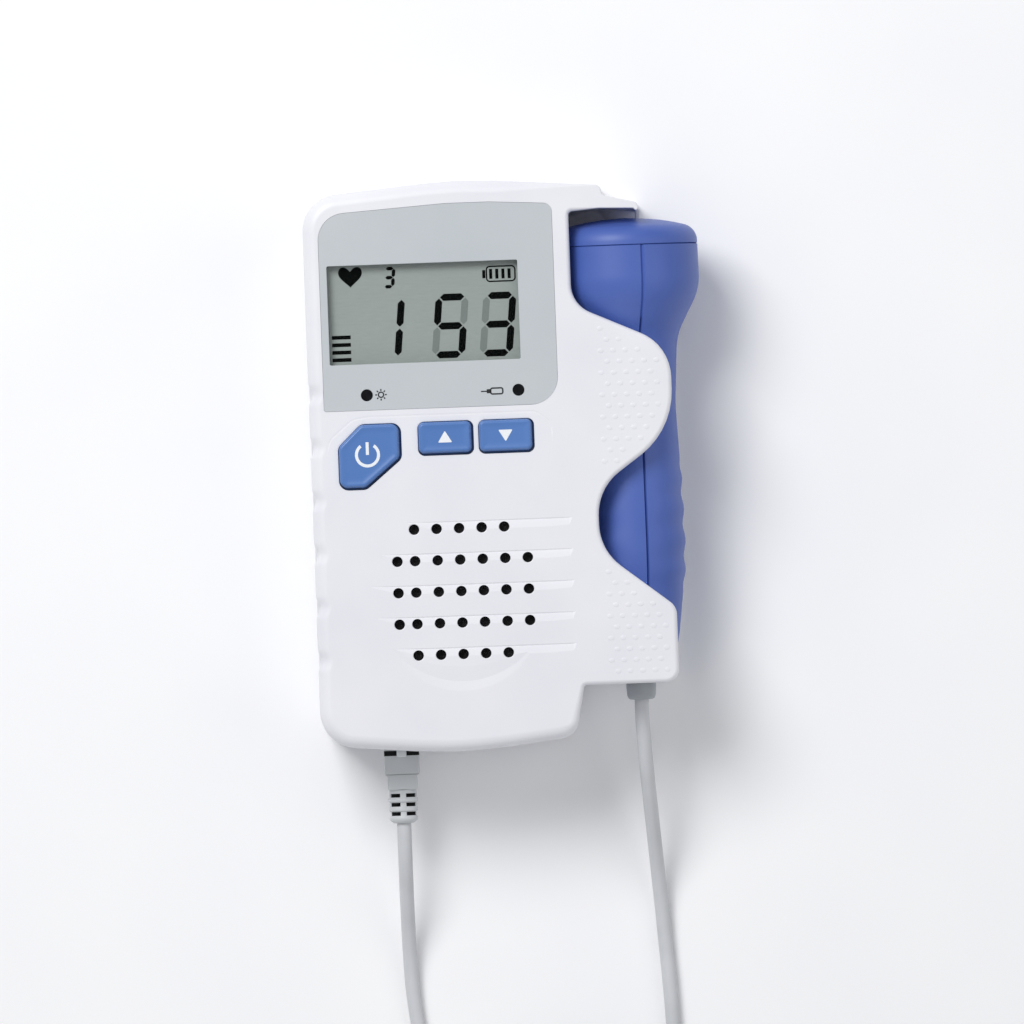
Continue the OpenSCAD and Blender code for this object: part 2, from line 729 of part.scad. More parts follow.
module plug_socket() color("dimgray") difference() {
    block(
        plug_x - socket_way_w / 2 - socket_side, socket_face_y, socket_z0,
        plug_x + socket_way_w / 2 + socket_side, socket_back_y, plug_z + plug_t / 2 + latch_h + 2
    );
    block(
        plug_x - plug_w / 2 - fit, socket_face_y - through, plug_z - plug_t / 2 - fit,
        plug_x + plug_w / 2 + fit, plug_front_y + 1, plug_z + plug_t / 2 + fit
    );
    block(
        plug_x - latch_w / 2 - 0.3, socket_face_y - through, plug_z,
        plug_x + latch_w / 2 + 0.3, plug_front_y + 1, plug_z + plug_t / 2 + latch_h + 0.3
    );
}
module plug_body() color("darkgray") {
    block(
        plug_x - plug_w / 2, plug_end_y, plug_z - plug_t / 2,
        plug_x + plug_w / 2, plug_front_y, plug_z + plug_t / 2
    );
    block(
        plug_x - plug_neck_w / 2, plug_neck_end_y, plug_z - plug_neck_t / 2,
        plug_x + plug_neck_w / 2, plug_end_y, plug_z + plug_neck_t / 2
    );
}
module plug_latch() color("gainsboro")
    block(
        plug_x - latch_w / 2, plug_end_y + 4.3, plug_z + plug_t / 2,
        plug_x + latch_w / 2, plug_front_y - 1, plug_z + plug_t / 2 + latch_h
    );
module plug_boot() color("darkgray") difference() {
    translate([plug_x, boot_end_y, plug_z]) rotate([-90, 0, 0])
        cylinder(h = plug_neck_end_y - boot_end_y, r1 = boot_r - 0.5, r2 = boot_r);
    for (i = [0:2], side = [-1, 1])
        block(
            plug_x + side * (boot_r / 2 + 1.4) - boot_r / 2, boot_end_y + 1.2 + 2.4 * i, plug_z - boot_r,
            plug_x + side * (boot_r / 2 + 1.4) + boot_r / 2, boot_end_y + 2.3 + 2.4 * i, plug_z + boot_r
        );
}

cord_r = cord_d / 2;
cord_z = 1.8;                      // height of the cord's centre where it lies on the surface
run_sides = 8;
coil_sides = 6;
rings_per_turn = 24;
relief_end_y = foot_low - relief_l;
coil_outer_r = coil_inner_r + coil_pitch * coil_turns / 2;
coil_right_x = coil_x + coil_outer_r;
coil_left_x = coil_x - coil_outer_r;
coil_top_z = cord_z + coil_rise;

// Routes of the two free stretches, from the object to the coil.
probe_route = concat(
    [
        [probe_x, relief_end_y, probe_z], [probe_x, -63, probe_z], [30.7, -70, 20.2], [31.2, -78, 17.4],
        [31.8, -86, 13], [32.4, -94, 8.4], [33, -102, 4.6], [33.6, -110, 2.4], [34.2, -119, cord_z],
        [34.8, -128, cord_z], [35.3, -138, cord_z], [35.6, -148, cord_z], [35.6, -158, cord_z]
    ],
    [[coil_right_x, coil_y + cord_d + 4, cord_z], [coil_right_x, coil_y + cord_d, cord_z]]
);
plug_route = concat(
    [
        [plug_x, boot_end_y, plug_z], [plug_x, -91, plug_z], [plug_x, -98, 12.6], [-28.8, -106, 8.8],
        [-28.7, -114, 5], [-28.5, -122, 2.6], [-28, -130, cord_z], [-26.8, -139, cord_z],
        [-24.6, -148, 2.2], [-22.6, -156, 3.6]
    ],
    [[coil_left_x, coil_y + cord_d + 5, coil_top_z], [coil_left_x, coil_y + cord_d, coil_top_z]]
);

// Spirals in on the lower layer, climbs in the half turn in the middle, spirals out on the upper one.
function smooth(x) = let (t = min(1, max(0, x))) t * t * (3 - 2 * t);
coil_route = concat(
    [[coil_right_x, coil_y + cord_d, cord_z]],
    [
        for (k = [0:coil_turns * rings_per_turn])
            let (
                turn = k / rings_per_turn,
                r = coil_inner_r + coil_pitch * abs(turn - coil_turns / 2),
                climb = smooth((turn - coil_turns / 2) / 0.5 + 0.5)
            )
            [coil_x + r * cos(-360 * turn), coil_y + r * sin(-360 * turn), cord_z + coil_rise * climb]
    ],
    [[coil_left_x, coil_y + cord_d, coil_top_z]]
);

function heading(route, i) = unit(route[min(i + 1, len(route) - 1)] - route[max(i - 1, 0)]);
function ring_points(route, sides) = [
    for (i = [0:len(route) - 1])
        let (t = heading(route, i), s = unit(cross([0, 0, 1], t)), u = cross(t, s))
        for (j = [0:sides - 1]) route[i] + cord_r * (cos(360 * j / sides) * s + sin(360 * j / sides) * u)
];
function tube_faces(rings, sides) = concat(
    [for (j = [1:sides - 2]) [0, j, j + 1]],
    [
        for (i = [0:rings - 2], j = [0:sides - 1])
            let (a = i * sides + j, b = i * sides + (j + 1) % sides)
            each [[a, a + sides, b + sides], [a, b + sides, b]]
    ],
    [for (j = [1:sides - 2]) let (e = (rings - 1) * sides) [e, e + j + 1, e + j]]
);
module tube(route, sides) {
    polyhedron(points = ring_points(route, sides), faces = tube_faces(len(route), sides), convexity = 10);
}
module cord_probe_run() color("lightgray") tube(probe_route, run_sides);
module cord_plug_run() color("lightgray") tube(plug_route, run_sides);
module cord_coil() color("lightgray") tube(coil_route, coil_sides);

// Least gap between two turns of the coil, measured between the points of its centre line.
coil_gap = min([
    for (i = [0:2:len(coil_route) - 1], j = [i + rings_per_turn / 2:len(coil_route) - 1])
        norm(coil_route[i] - coil_route[j])
]) - cord_d;
echo(coil_least_gap_mm = coil_gap);

// --- Probe ------------------------------------------------------------------------------------

// Outline of the probe: [radius, place along the axis, rounding], from the face to the cord's end.
face_corner_r = 9.5;
face_drop = 0.6;
end_r = 8.2;                       // radius of the handle's lower end
probe_corners = [
    [0, probe_face, 0],
    [face_corner_r, probe_face - face_drop, 48],
    [head_r - 0.25, probe_face - 2.8, 4.2],
    [head_r, probe_face - head_l, 14],
    [neck_r + 0.97, probe_face - head_l - cone_l, 16],
    [neck_r, probe_face - head_l - cone_l - 17.2, 40],
    [handle_r - 0.1, probe_end + 43.8, 60],
    [handle_r + 0.15, probe_end + 26.8, 60],
    [end_r + 1.7, probe_end + 9.3, 30],
    [end_r, probe_end, 4],
    [0, probe_end, 0]
];
// The open outline, moved inwards by d. Its ends are run out past the axis first, and cut back to it after.
far = 60;
function probe_outline(d) =
    let (
        side = [for (i = [1:len(probe_corners) - 2]) probe_corners[i]],
        face_end = [-far, probe_face + far * face_drop / face_corner_r, 0],
        points = rounded(inset(concat([face_end], side, [[-far, probe_end, 0]]), d))
    )
    concat([[0, probe_face - d]], [for (p = points) if (p[0] > 0) p], [[0, probe_end + d]]);

module along_probe() {
    translate([probe_x, 0, probe_z]) rotate([-90, 0, 0]) children();
}
module probe_solid(d) {
    along_probe() rotate_extrude() polygon(probe_outline(d));
}
module probe_rod(y0, y1, r) {
    translate([probe_x, y0, probe_z]) rotate([-90, 0, 0]) cylinder(h = y1 - y0, r = r);
}
// side is -1 for the shell towards the pocket and 1 for the one towards the hand
module probe_shell(side) {
    difference() {
        intersection() {
            difference() {
                probe_solid(0);
                probe_solid(probe_wall);
            }
            translate([probe_x, 0, probe_z]) rotate([0, seam_turn, 0])
                translate([side < 0 ? -40 : 0, probe_end - 1, -40]) cube([40, cap_seam - probe_end + 1, 80]);
        }
        probe_rod(probe_end - 1, probe_end + probe_wall + 1, relief_r + pin_gap);
    }
}
module probe_left_shell() color("royalblue") probe_shell(-1);
module probe_right_shell() color("royalblue") probe_shell(1);

cap_spigot_r = head_r - probe_wall - 0.7;
cap_seam = probe_face - cap_y;
cap_face_y = probe_face - 2.6;     // flat seat of the crystals behind the face
ring_r = 0.7;
module probe_cap() color("royalblue") difference() {
    union() {
        intersection() {
            probe_solid(0);
            probe_rod(cap_seam, probe_face + 1, head_r + 1);
        }
        probe_rod(cap_seam - 4, cap_seam + 1, cap_spigot_r);
    }
    probe_rod(cap_seam - 5, cap_face_y, cap_spigot_r - 1.6);
    probe_ring(ring_r + pin_gap);
}
module probe_ring(r) {
    along_probe() translate([0, 0, cap_seam - 2])
        rotate_extrude() translate([cap_spigot_r, 0]) circle(r = r, $fn = 24);
}
module probe_seal_ring() color("black") intersection() {
    probe_ring(ring_r);
    probe_rod(cap_seam - 5, cap_seam, cap_spigot_r + 0.5);
}

crystal_r = 8.5;
crystal_t = 1.2;
module probe_crystals() color("goldenrod") difference() {
    probe_rod(cap_face_y - crystal_t, cap_face_y, crystal_r);
    block(probe_x - 0.4, cap_face_y - 2, 0, probe_x + 0.4, cap_face_y + 1, 2 * probe_z);
}
backing_l = 5;
module probe_backing() color("dimgray")
    probe_rod(cap_face_y - crystal_t - backing_l, cap_face_y - crystal_t, cap_spigot_r - 1.9);

probe_board_w = 2 * (neck_r - probe_wall) - 0.7;
module probe_board() color("seagreen")
    block(
        probe_x - probe_board_w / 2, probe_end + 21.8, probe_z - 0.8,
        probe_x + probe_board_w / 2, cone_bottom_y - 2, probe_z + 0.8
    );

collar_r = relief_r + 0.5;
module probe_strain_relief() color("darkgray") along_probe() rotate_extrude() polygon([
    [0, relief_end_y], [relief_r * 0.65, relief_end_y], [relief_r * 0.8, relief_end_y + relief_l * 0.03],
    [relief_r * 0.92, relief_end_y + relief_l * 0.15], [relief_r * 0.975, relief_end_y + relief_l * 0.35],
    [relief_r, relief_end_y + relief_l], [relief_r, probe_end + probe_wall],
    [collar_r, probe_end + probe_wall], [collar_r, probe_end + probe_wall + 2],
    [0, probe_end + probe_wall + 2]
]);

front_case();
rear_case();
display_panel();
display_lens();
lcd_glass();
lcd_holder();
backlight_plate();
contact_strip();
status_lights();
status_leds();
main_board();
board_chips();
board_capacitors();
board_screws();
tact_switches();
power_button();
up_button();
down_button();
power_plunger();
up_plunger();
down_plunger();
speaker_basket();
speaker_magnet();
speaker_cone();
speaker_cloth();
battery_cover();
battery_left();
battery_right();
battery_contacts();
plug_socket();
plug_body();
plug_latch();
plug_boot();
case_screws();
probe_left_shell();
probe_right_shell();
probe_cap();
probe_crystals();
probe_backing();
probe_board();
probe_seal_ring();
probe_strain_relief();
cord_probe_run();
cord_plug_run();
cord_coil();
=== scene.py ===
import json
import math

import bmesh
import bpy
from bpy.props import FloatProperty, FloatVectorProperty, IntProperty, PointerProperty
from bpy.types import Operator, Panel, PropertyGroup
from mathutils import Matrix, Vector

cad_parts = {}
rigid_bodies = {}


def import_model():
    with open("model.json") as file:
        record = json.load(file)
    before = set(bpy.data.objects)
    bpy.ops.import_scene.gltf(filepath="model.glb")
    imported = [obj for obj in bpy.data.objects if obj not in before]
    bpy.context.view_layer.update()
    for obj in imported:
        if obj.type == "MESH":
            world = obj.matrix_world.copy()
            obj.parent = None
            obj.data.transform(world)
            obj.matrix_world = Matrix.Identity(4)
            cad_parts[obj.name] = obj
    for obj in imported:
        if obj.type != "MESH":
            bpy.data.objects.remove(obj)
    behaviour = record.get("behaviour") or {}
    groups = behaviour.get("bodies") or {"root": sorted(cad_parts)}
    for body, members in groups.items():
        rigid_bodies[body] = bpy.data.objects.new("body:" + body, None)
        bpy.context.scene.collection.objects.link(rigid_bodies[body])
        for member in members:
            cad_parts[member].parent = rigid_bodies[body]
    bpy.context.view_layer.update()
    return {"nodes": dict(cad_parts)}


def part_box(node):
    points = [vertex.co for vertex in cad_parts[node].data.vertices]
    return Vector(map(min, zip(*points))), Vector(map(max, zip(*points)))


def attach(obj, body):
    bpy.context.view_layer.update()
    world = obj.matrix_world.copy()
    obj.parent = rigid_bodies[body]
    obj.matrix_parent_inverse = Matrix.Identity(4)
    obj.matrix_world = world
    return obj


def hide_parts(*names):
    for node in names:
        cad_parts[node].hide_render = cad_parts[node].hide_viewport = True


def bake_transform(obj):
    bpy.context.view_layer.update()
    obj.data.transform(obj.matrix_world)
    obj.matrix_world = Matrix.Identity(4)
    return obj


bl_info = {
    "name": "Fetal Doppler Monitor",
    "version": (1, 0, 0),
    "blender": (4, 5, 0),
    "location": "3D View > Sidebar > Doppler",
    "description": "Dresses the frame of a hand-held fetal doppler monitor with its finished pieces",
    "category": "Object",
}

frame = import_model()

MM = 0.001                 # the lists below are in millimetres, and the scene is in metres


def limits(node):
    """Lowest and highest corner of a CAD node, in millimetres."""
    low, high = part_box(node)
    return low / MM, high / MM


CASE_LOW, CASE_HIGH = limits("front_case")
SEAM_Z = CASE_LOW.z        # where the rear and the front half meet
FACE_Z = CASE_HIGH.z       # front face of the case
LEFT_X = CASE_LOW.x
PANEL_Z = limits("display_panel")[1].z
GLASS_Z = limits("lcd_glass")[1].z

# --- Outlines of the case, clockwise: [x, y, rounding] -----------------------------------------

TOP = [[LEFT_X, 66.525, 9], [-10, 69.975, 110], [24.7, 67.375, 1.6], [25.1, 64.9, 1]]
LIP = [[33.9, 62.7, 1.4], [33.7, 60.2, 0.5], [32.6, 61.4, 0.6], [24, 61.7, 10]]
WAVE = [
    [16.75, 61.1, 1], [16.75, 38.38, 7.5], [40.4, 27.7, 12], [40.4, 6.917, 19.5],
    [21.5, -6.667, 13], [21.5, -21.76, 13], [39.7, -36.156, 4],
]
FOOT = [
    [39.7, -54.5, 3.2], [16.5, -54.5, 0.8], [14.2, -66.908, 5], [-14, -70.208, 110], [LEFT_X, -67.008, 9],
]
FRONT_OUTLINE = TOP + LIP + WAVE + FOOT
REAR_OUTLINE = TOP + [[34.2, 62.7, 1.6], [34.2, 44, 18], [39.7, 28, 18]] + FOOT

# --- Routes of the cord, in millimetres, as the CAD model lays them ------------------------------

CORD_D = 3.5
FLOOR_CORD_Z = 1.8         # height of the cord's centre where it lies on the surface
COIL_X, COIL_Y = 7.2, -172
COIL_INNER_R, COIL_PITCH, COIL_RISE, COIL_TURNS = 13.4, 4, 4, 7.5
COIL_REACH = COIL_INNER_R + COIL_PITCH * COIL_TURNS / 2
RINGS_PER_TURN = 32
PROBE_ROUTE = [
    [30.4, -58.6, 20.75], [30.4, -63, 20.75], [30.7, -70, 20.2], [31.2, -78, 17.4], [31.8, -86, 13],
    [32.4, -94, 8.4], [33, -102, 4.6], [33.6, -110, 2.4], [34.2, -119, FLOOR_CORD_Z],
    [34.8, -128, FLOOR_CORD_Z], [35.3, -138, FLOOR_CORD_Z], [35.6, -148, FLOOR_CORD_Z],
    [35.6, -158, FLOOR_CORD_Z], [COIL_X + COIL_REACH, COIL_Y + 7.5, FLOOR_CORD_Z],
    [COIL_X + COIL_REACH, COIL_Y + CORD_D, FLOOR_CORD_Z],
]
PLUG_ROUTE = [
    [-28.8, -86.8, 14], [-28.8, -91, 14], [-28.8, -98, 12.6], [-28.8, -106, 8.8], [-28.7, -114, 5],
    [-28.5, -122, 2.6], [-28, -130, FLOOR_CORD_Z], [-26.8, -139, FLOOR_CORD_Z], [-24.6, -148, 2.2],
    [-22.6, -156, 3.6], [COIL_X - COIL_REACH, COIL_Y + 8.5, FLOOR_CORD_Z + COIL_RISE],
    [COIL_X - COIL_REACH, COIL_Y + CORD_D, FLOOR_CORD_Z + COIL_RISE],
]


def ease(x):
    """A smooth step from 0 to 1."""
    t = min(1.0, max(0.0, x))
    return t * t * (3 - 2 * t)


def coil_route():
    """Spirals in on the lower layer, climbs in the middle half turn and spirals out on the upper one."""
    route = [[COIL_X + COIL_REACH, COIL_Y + CORD_D, FLOOR_CORD_Z]]
    for k in range(int(COIL_TURNS * RINGS_PER_TURN) + 1):
        turn = k / RINGS_PER_TURN
        radius = COIL_INNER_R + COIL_PITCH * abs(turn - COIL_TURNS / 2)
        angle = -math.tau * turn
        climb = COIL_RISE * ease((turn - COIL_TURNS / 2) / 0.5 + 0.5)
        route.append([
            COIL_X + radius * math.cos(angle), COIL_Y + radius * math.sin(angle), FLOOR_CORD_Z + climb
        ])
    return route + [[COIL_X - COIL_REACH, COIL_Y + CORD_D, FLOOR_CORD_Z + COIL_RISE]]


# --- Modelling helpers ---------------------------------------------------------------------------


def rounded(corners, step=6.0):
    """Points of a closed outline whose corners [x, y, radius] are rounded by arcs."""
    points = []
    for i, (x, y, radius) in enumerate(corners):
        here = Vector((x, y))
        back = (Vector(corners[i - 1][:2]) - here).normalized()
        ahead = (Vector(corners[(i + 1) % len(corners)][:2]) - here).normalized()
        if radius <= 0:
            points.append(here)
            continue
        half = back.angle(ahead) / 2
        centre = here + (back + ahead).normalized() * radius / math.sin(half)
        first = here + back * radius / math.tan(half) - centre
        swing = (math.pi - 2 * half) * (1 if (-back).cross(ahead) > 0 else -1)
        count = max(2, math.ceil(abs(math.degrees(swing)) / step))
        start = math.atan2(first.y, first.x)
        for k in range(count + 1):
            angle = start + swing * k / count
            points.append(centre + radius * Vector((math.cos(angle), math.sin(angle))))
    return points


def moved_in(points, distance):
    """A clockwise ring of points moved inwards. The distance is a number, or one for each point."""
    found = []
    for i, p in enumerate(points):
        a = (p - points[i - 1]).normalized()
        b = (points[(i + 1) % len(points)] - p).normalized()
        side_a, side_b = Vector((a.y, -a.x)), Vector((b.y, -b.x))
        d = distance[i] if hasattr(distance, "__len__") else distance
        found.append(p + (side_a + side_b) * d / (1 + side_a.dot(side_b)))
    return found


def at_height(points, z):
    """A flat ring lifted to the height z, which is a number or one for each point."""
    return [(p.x, p.y, z[i] if hasattr(z, "__len__") else z) for i, p in enumerate(points)]


def loft(bm, rings, closed=True):
    """Skins a stack of rings, in millimetres, that have the same number of points."""
    verts = [bm.verts.new(Vector(p) * MM) for p in rings[0]]
    edges = [bm.edges.new((verts[i - 1], verts[i])) for i in range(len(verts))]
    caps = [list(verts)]
    for ring in rings[1:]:
        grown = bmesh.ops.extrude_edge_only(bm, edges=edges)["geom"]
        fresh = {g for g in grown if isinstance(g, bmesh.types.BMVert)}
        verts = [next(e.other_vert(v) for e in v.link_edges if e.other_vert(v) in fresh) for v in verts]
        for v, p in zip(verts, ring):
            v.co = Vector(p) * MM
        edges = [bm.edges.get((verts[i - 1], verts[i])) for i in range(len(verts))]
    caps.append(verts)
    if closed:
        for cap in caps:
            bm.faces.new(cap)


def turned(profile, x, z, steps):
    """A solid spun from a profile of (radius, place) points round an axis that lies along the case."""
    bm = bmesh.new()
    verts = [bm.verts.new(Vector((x, place, z + radius)) * MM) for radius, place in profile]
    edges = [bm.edges.new(pair) for pair in zip(verts, verts[1:])]
    bmesh.ops.spin(
        bm, geom=verts + edges, cent=Vector((x, 0, z)) * MM, axis=(0, 1, 0), dvec=(0, 0, 0), angle=math.tau,
        steps=steps, use_merge=True,
    )
    bmesh.ops.remove_doubles(bm, verts=bm.verts, dist=0.004 * MM)
    return bm


def finished(bm, name, material=None, sharp=35.0):
    """Makes a bmesh an object with its normals outwards, smooth but for the edges sharper than that."""
    bmesh.ops.recalc_face_normals(bm, faces=bm.faces)
    mesh = bpy.data.meshes.new(name)
    bm.to_mesh(mesh)
    bm.free()
    piece = bpy.data.objects.new(name, mesh)
    bpy.context.scene.collection.objects.link(piece)
    smooth(piece, sharp)
    if material:
        piece.data.materials.append(material)
    return piece


def smooth(piece, sharp=35.0):
    """Smooth shading that keeps crisp edges, weighted so that flat faces stay flat."""
    piece.data.shade_smooth()
    piece.data.set_sharp_from_angle(angle=math.radians(sharp))
    weighted = piece.modifiers.new("even_shading", "WEIGHTED_NORMAL")
    weighted.keep_sharp = True
    weighted.weight = 50


def baked(piece):
    """Applies a piece's modifiers to its mesh."""
    old = piece.data
    graph = bpy.context.evaluated_depsgraph_get()
    piece.data = bpy.data.meshes.new_from_object(piece.evaluated_get(graph))
    piece.modifiers.clear()
    bpy.data.meshes.remove(old)


def combined(piece, operation, *solids):
    """Joins, cuts or trims a piece by the solids of some bmeshes, all in one step."""
    tools = bpy.data.collections.new("tools")
    bpy.context.scene.collection.children.link(tools)
    for bm in solids:
        bmesh.ops.recalc_face_normals(bm, faces=bm.faces)
        mesh = bpy.data.meshes.new("tool")
        bm.to_mesh(mesh)
        bm.free()
        tools.objects.link(bpy.data.objects.new("tool", mesh))
    change = piece.modifiers.new("change", "BOOLEAN")
    change.operation = operation
    change.solver = "EXACT"
    change.operand_type = "COLLECTION"
    change.collection = tools
    baked(piece)
    for tool in list(tools.objects):
        mesh = tool.data
        bpy.data.objects.remove(tool)
        bpy.data.meshes.remove(mesh)
    bpy.data.collections.remove(tools)


def copied(node, name):
    """A CAD node's shape as a new piece, with its loose triangles joined."""
    bm = bmesh.new()
    bm.from_mesh(frame["nodes"][node].data)
    bmesh.ops.remove_doubles(bm, verts=bm.verts, dist=0.002 * MM)
    mesh = bpy.data.meshes.new(name)
    bm.to_mesh(mesh)
    bm.free()
    mesh.materials.clear()
    piece = bpy.data.objects.new(name, mesh)
    bpy.context.scene.collection.objects.link(piece)
    return piece


def softened(node, name, width, segments=2):
    """A CAD node's shape with its edges rounded over that width, in millimetres."""
    piece = copied(node, name)
    bm = bmesh.new()
    bm.from_mesh(piece.data)
    bmesh.ops.dissolve_limit(bm, angle_limit=math.radians(1), verts=bm.verts, edges=bm.edges)
    sharp = [e for e in bm.edges if e.is_manifold and e.calc_face_angle() > math.radians(30)]
    bmesh.ops.bevel(
        bm, geom=sharp, offset=width * MM, segments=segments, profile=0.5, affect="EDGES",
        clamp_overlap=True, material=-1,
    )
    bm.to_mesh(piece.data)
    bm.free()
    smooth(piece, 40)
    return piece


def face_rings(bm, z):
    """The rings of points where the upward faces at the height z end, each clockwise, longest first."""
    flat = {
        f for f in bm.faces
        if f.normal.z > 0.99 and all(abs(v.co.z / MM - z) < 0.005 for v in f.verts)
    }
    border = {e for f in flat for e in f.edges if sum(g in flat for g in e.link_faces) == 1}
    rings = []
    while border:
        edge = border.pop()
        ring = [edge.verts[0], edge.verts[1]]
        while True:
            ahead = next((e for e in ring[-1].link_edges if e in border), None)
            if ahead is None:
                break
            border.discard(ahead)
            ring.append(ahead.other_vert(ring[-1]))
        if ring[0] == ring[-1]:
            ring.pop()
        points = [Vector(v.co[:2]) / MM for v in ring]
        area = sum(points[i - 1].cross(points[i]) for i in range(len(points)))
        rings.append(points if area < 0 else points[::-1])
    return sorted(rings, key=lambda r: -sum((r[i] - r[i - 1]).length for i in range(len(r))))


def placed(piece, body, *nodes):
    """A piece rides on a body and stands for these CAD nodes."""
    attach(piece, body)
    if nodes:
        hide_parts(*nodes)


# --- Materials -----------------------------------------------------------------------------------


def linear(hex_colour):
    """An sRGB hex colour as linear red, green, blue and alpha."""
    channels = [int(hex_colour[i:i + 2], 16) / 255 for i in (1, 3, 5)]
    return (*[c / 12.92 if c <= 0.04045 else ((c + 0.055) / 1.055) ** 2.4 for c in channels], 1.0)


def add_node(tree, kind, settings=None, inputs=None):
    """Adds a shader node with its settings, and its inputs as values or as sockets that feed them."""
    made = tree.nodes.new(kind)
    for name, value in (settings or {}).items():
        setattr(made, name, value)
    for name, value in (inputs or {}).items():
        if isinstance(value, bpy.types.NodeSocket):
            tree.links.new(value, made.inputs[name])
        else:
            made.inputs[name].default_value = value
    return made


def material(name, **values):
    """A named material, its node tree, its Principled shader and the Object coordinates."""
    made = bpy.data.materials.new(name)
    made.use_nodes = True
    tree = made.node_tree
    shader = tree.nodes["Principled BSDF"]
    for socket, value in values.items():
        shader.inputs[socket.replace("_", " ")].default_value = value
    place = add_node(tree, "ShaderNodeTexCoord").outputs["Object"]
    return made, tree, shader, place


def mottled(tree, place, size_mm, low, high, detail=2.0):
    """A noise of blotches that many millimetres across, between two values."""
    noise = add_node(
        tree, "ShaderNodeTexNoise", {}, {"Vector": place, "Scale": 1 / (size_mm * MM), "Detail": detail}
    )
    return add_node(
        tree, "ShaderNodeMapRange", {}, {"Value": noise.outputs["Fac"], 1: 0.3, 2: 0.7, 3: low, 4: high}
    ).outputs[0]


def between(tree, factor, first, second):
    """A colour between two, by a factor."""
    mix = add_node(tree, "ShaderNodeMix", {"data_type": "RGBA"}, {0: factor, 6: first, 7: second})
    return mix.outputs[2]


def grained(tree, shader, place, grain_mm, height_mm, strength=0.5):
    """The fine bumps of a moulded or etched surface."""
    noise = add_node(
        tree, "ShaderNodeTexNoise", {}, {"Vector": place, "Scale": 1 / (grain_mm * MM), "Detail": 1.5}
    )
    bump = add_node(
        tree, "ShaderNodeBump", {},
        {"Strength": strength, "Distance": height_mm * MM, "Height": noise.outputs["Fac"]},
    )
    tree.links.new(bump.outputs[0], shader.inputs["Normal"])


def toned(name, colours, tone_mm, gloss_mm, gloss, grain=(), detail=2.0, **values):
    """A finish whose colour and roughness each drift between two values, with a fine grain if it has one."""
    made, tree, shader, place = material(name, **values)
    colour = between(tree, mottled(tree, place, tone_mm, 0, 1, detail), *colours)
    tree.links.new(colour, shader.inputs["Base Color"])
    tree.links.new(mottled(tree, place, gloss_mm, *gloss), shader.inputs["Roughness"])
    if grain:
        grained(tree, shader, place, *grain)
    return made


def moulded_plastic(name, colour, shade, roughness, grain_mm, height_mm, ior=1.53):
    """ABS or a like plastic from a spark-eroded mould: a satin skin with faint flow marks."""
    gloss = (roughness - 0.01, roughness + 0.02)
    return toned(name, (colour, shade), 22, 6, gloss, (grain_mm, height_mm), IOR=ior)


def case_abs(looks):
    """Off-white satin ABS: it looks like a fine egg shell, with soft wide highlights."""
    return moulded_plastic("satin_white_abs", linear_of(looks.case), linear("#E6E6EC"), 0.44, 0.5, 0.010)


def linear_of(colour):
    """A colour property with full alpha."""
    return (*colour[:3], 1.0)


def probe_abs(looks):
    """Blue satin ABS, smoother than the case: its highlights are soft streaks along the handle."""
    return moulded_plastic("satin_blue_abs", linear_of(looks.probe), linear("#4560AE"), 0.46, 0.4, 0.006)


def button_abs(looks):
    """Blue ABS button caps, nearly gloss on their rims from the fingers that press them."""
    return moulded_plastic("polished_blue_abs", linear_of(looks.button), linear("#4F78B8"), 0.30, 0.35, 0.004)


def panel_film(looks):
    """Screen-printed polyester film: very even, with a silky sheen and no grain to the eye."""
    return toned(
        "printed_polyester_film", (linear_of(looks.panel), linear("#BEC4C8")), 30, 3, (0.34, 0.40),
        (0.3, 0.002), IOR=1.64, Coat_Weight=0.15, Coat_Roughness=0.3,
    )


def polariser_film(looks):
    """The reflective liquid crystal cell: grey-green, brushed very finely across the screen."""
    made, tree, shader, place = material("lcd_polariser_film", IOR=1.5)
    stretched = add_node(tree, "ShaderNodeMapping", {}, {"Vector": place, "Scale": (0.15, 1.0, 1.0)})
    streaks = mottled(tree, stretched.outputs[0], 0.4, 0.0, 1.0, 3)
    colour = between(tree, streaks, linear_of(looks.screen), linear("#B0BAB5"))
    tree.links.new(colour, shader.inputs["Base Color"])
    tree.links.new(mottled(tree, place, 5, 0.42, 0.5), shader.inputs["Roughness"])
    return made


def printed_ink(name, colour, shade, roughness=0.5, ior=1.45):
    """Screen-printed ink or a switched crystal segment: flat, with slightly uneven cover."""
    gloss = (roughness - 0.05, roughness + 0.08)
    return toned(name, (linear(colour), linear(shade)), 0.6, 2, gloss, detail=4, IOR=ior)


def acrylic_window():
    """A clear cast acrylic pane: it shows only a weak gloss over the screen."""
    made, tree, shader, place = material("clear_acrylic", IOR=1.49, Alpha=0.08)
    shader.inputs["Base Color"].default_value = linear("#141616")
    tree.links.new(mottled(tree, place, 12, 0.02, 0.07), shader.inputs["Roughness"])
    grained(tree, shader, place, 8, 0.002, 0.2)
    return made


def smoked_lens():
    """Dark smoked acrylic over a status light that is off: near black, with a weak gloss."""
    return toned("smoked_acrylic", (linear("#0B0C0E"), linear("#15171A")), 1.5, 2, (0.12, 0.2), IOR=1.25)


def cord_vinyl(looks):
    """The cord's soft PVC jacket: matt grey, with a faint ripple from its extrusion."""
    return toned(
        "extruded_soft_vinyl", (linear_of(looks.cord), linear("#C2C4C7")), 14, 4, (0.45, 0.55),
        (0.8, 0.015, 0.4), IOR=1.52,
    )


def grey_vinyl(name, colour, shade):
    """Moulded-on PVC of the plug and the strain relief: matt, a little darker than the cord."""
    return moulded_plastic(name, linear(colour), linear(shade), 0.5, 0.5, 0.012)


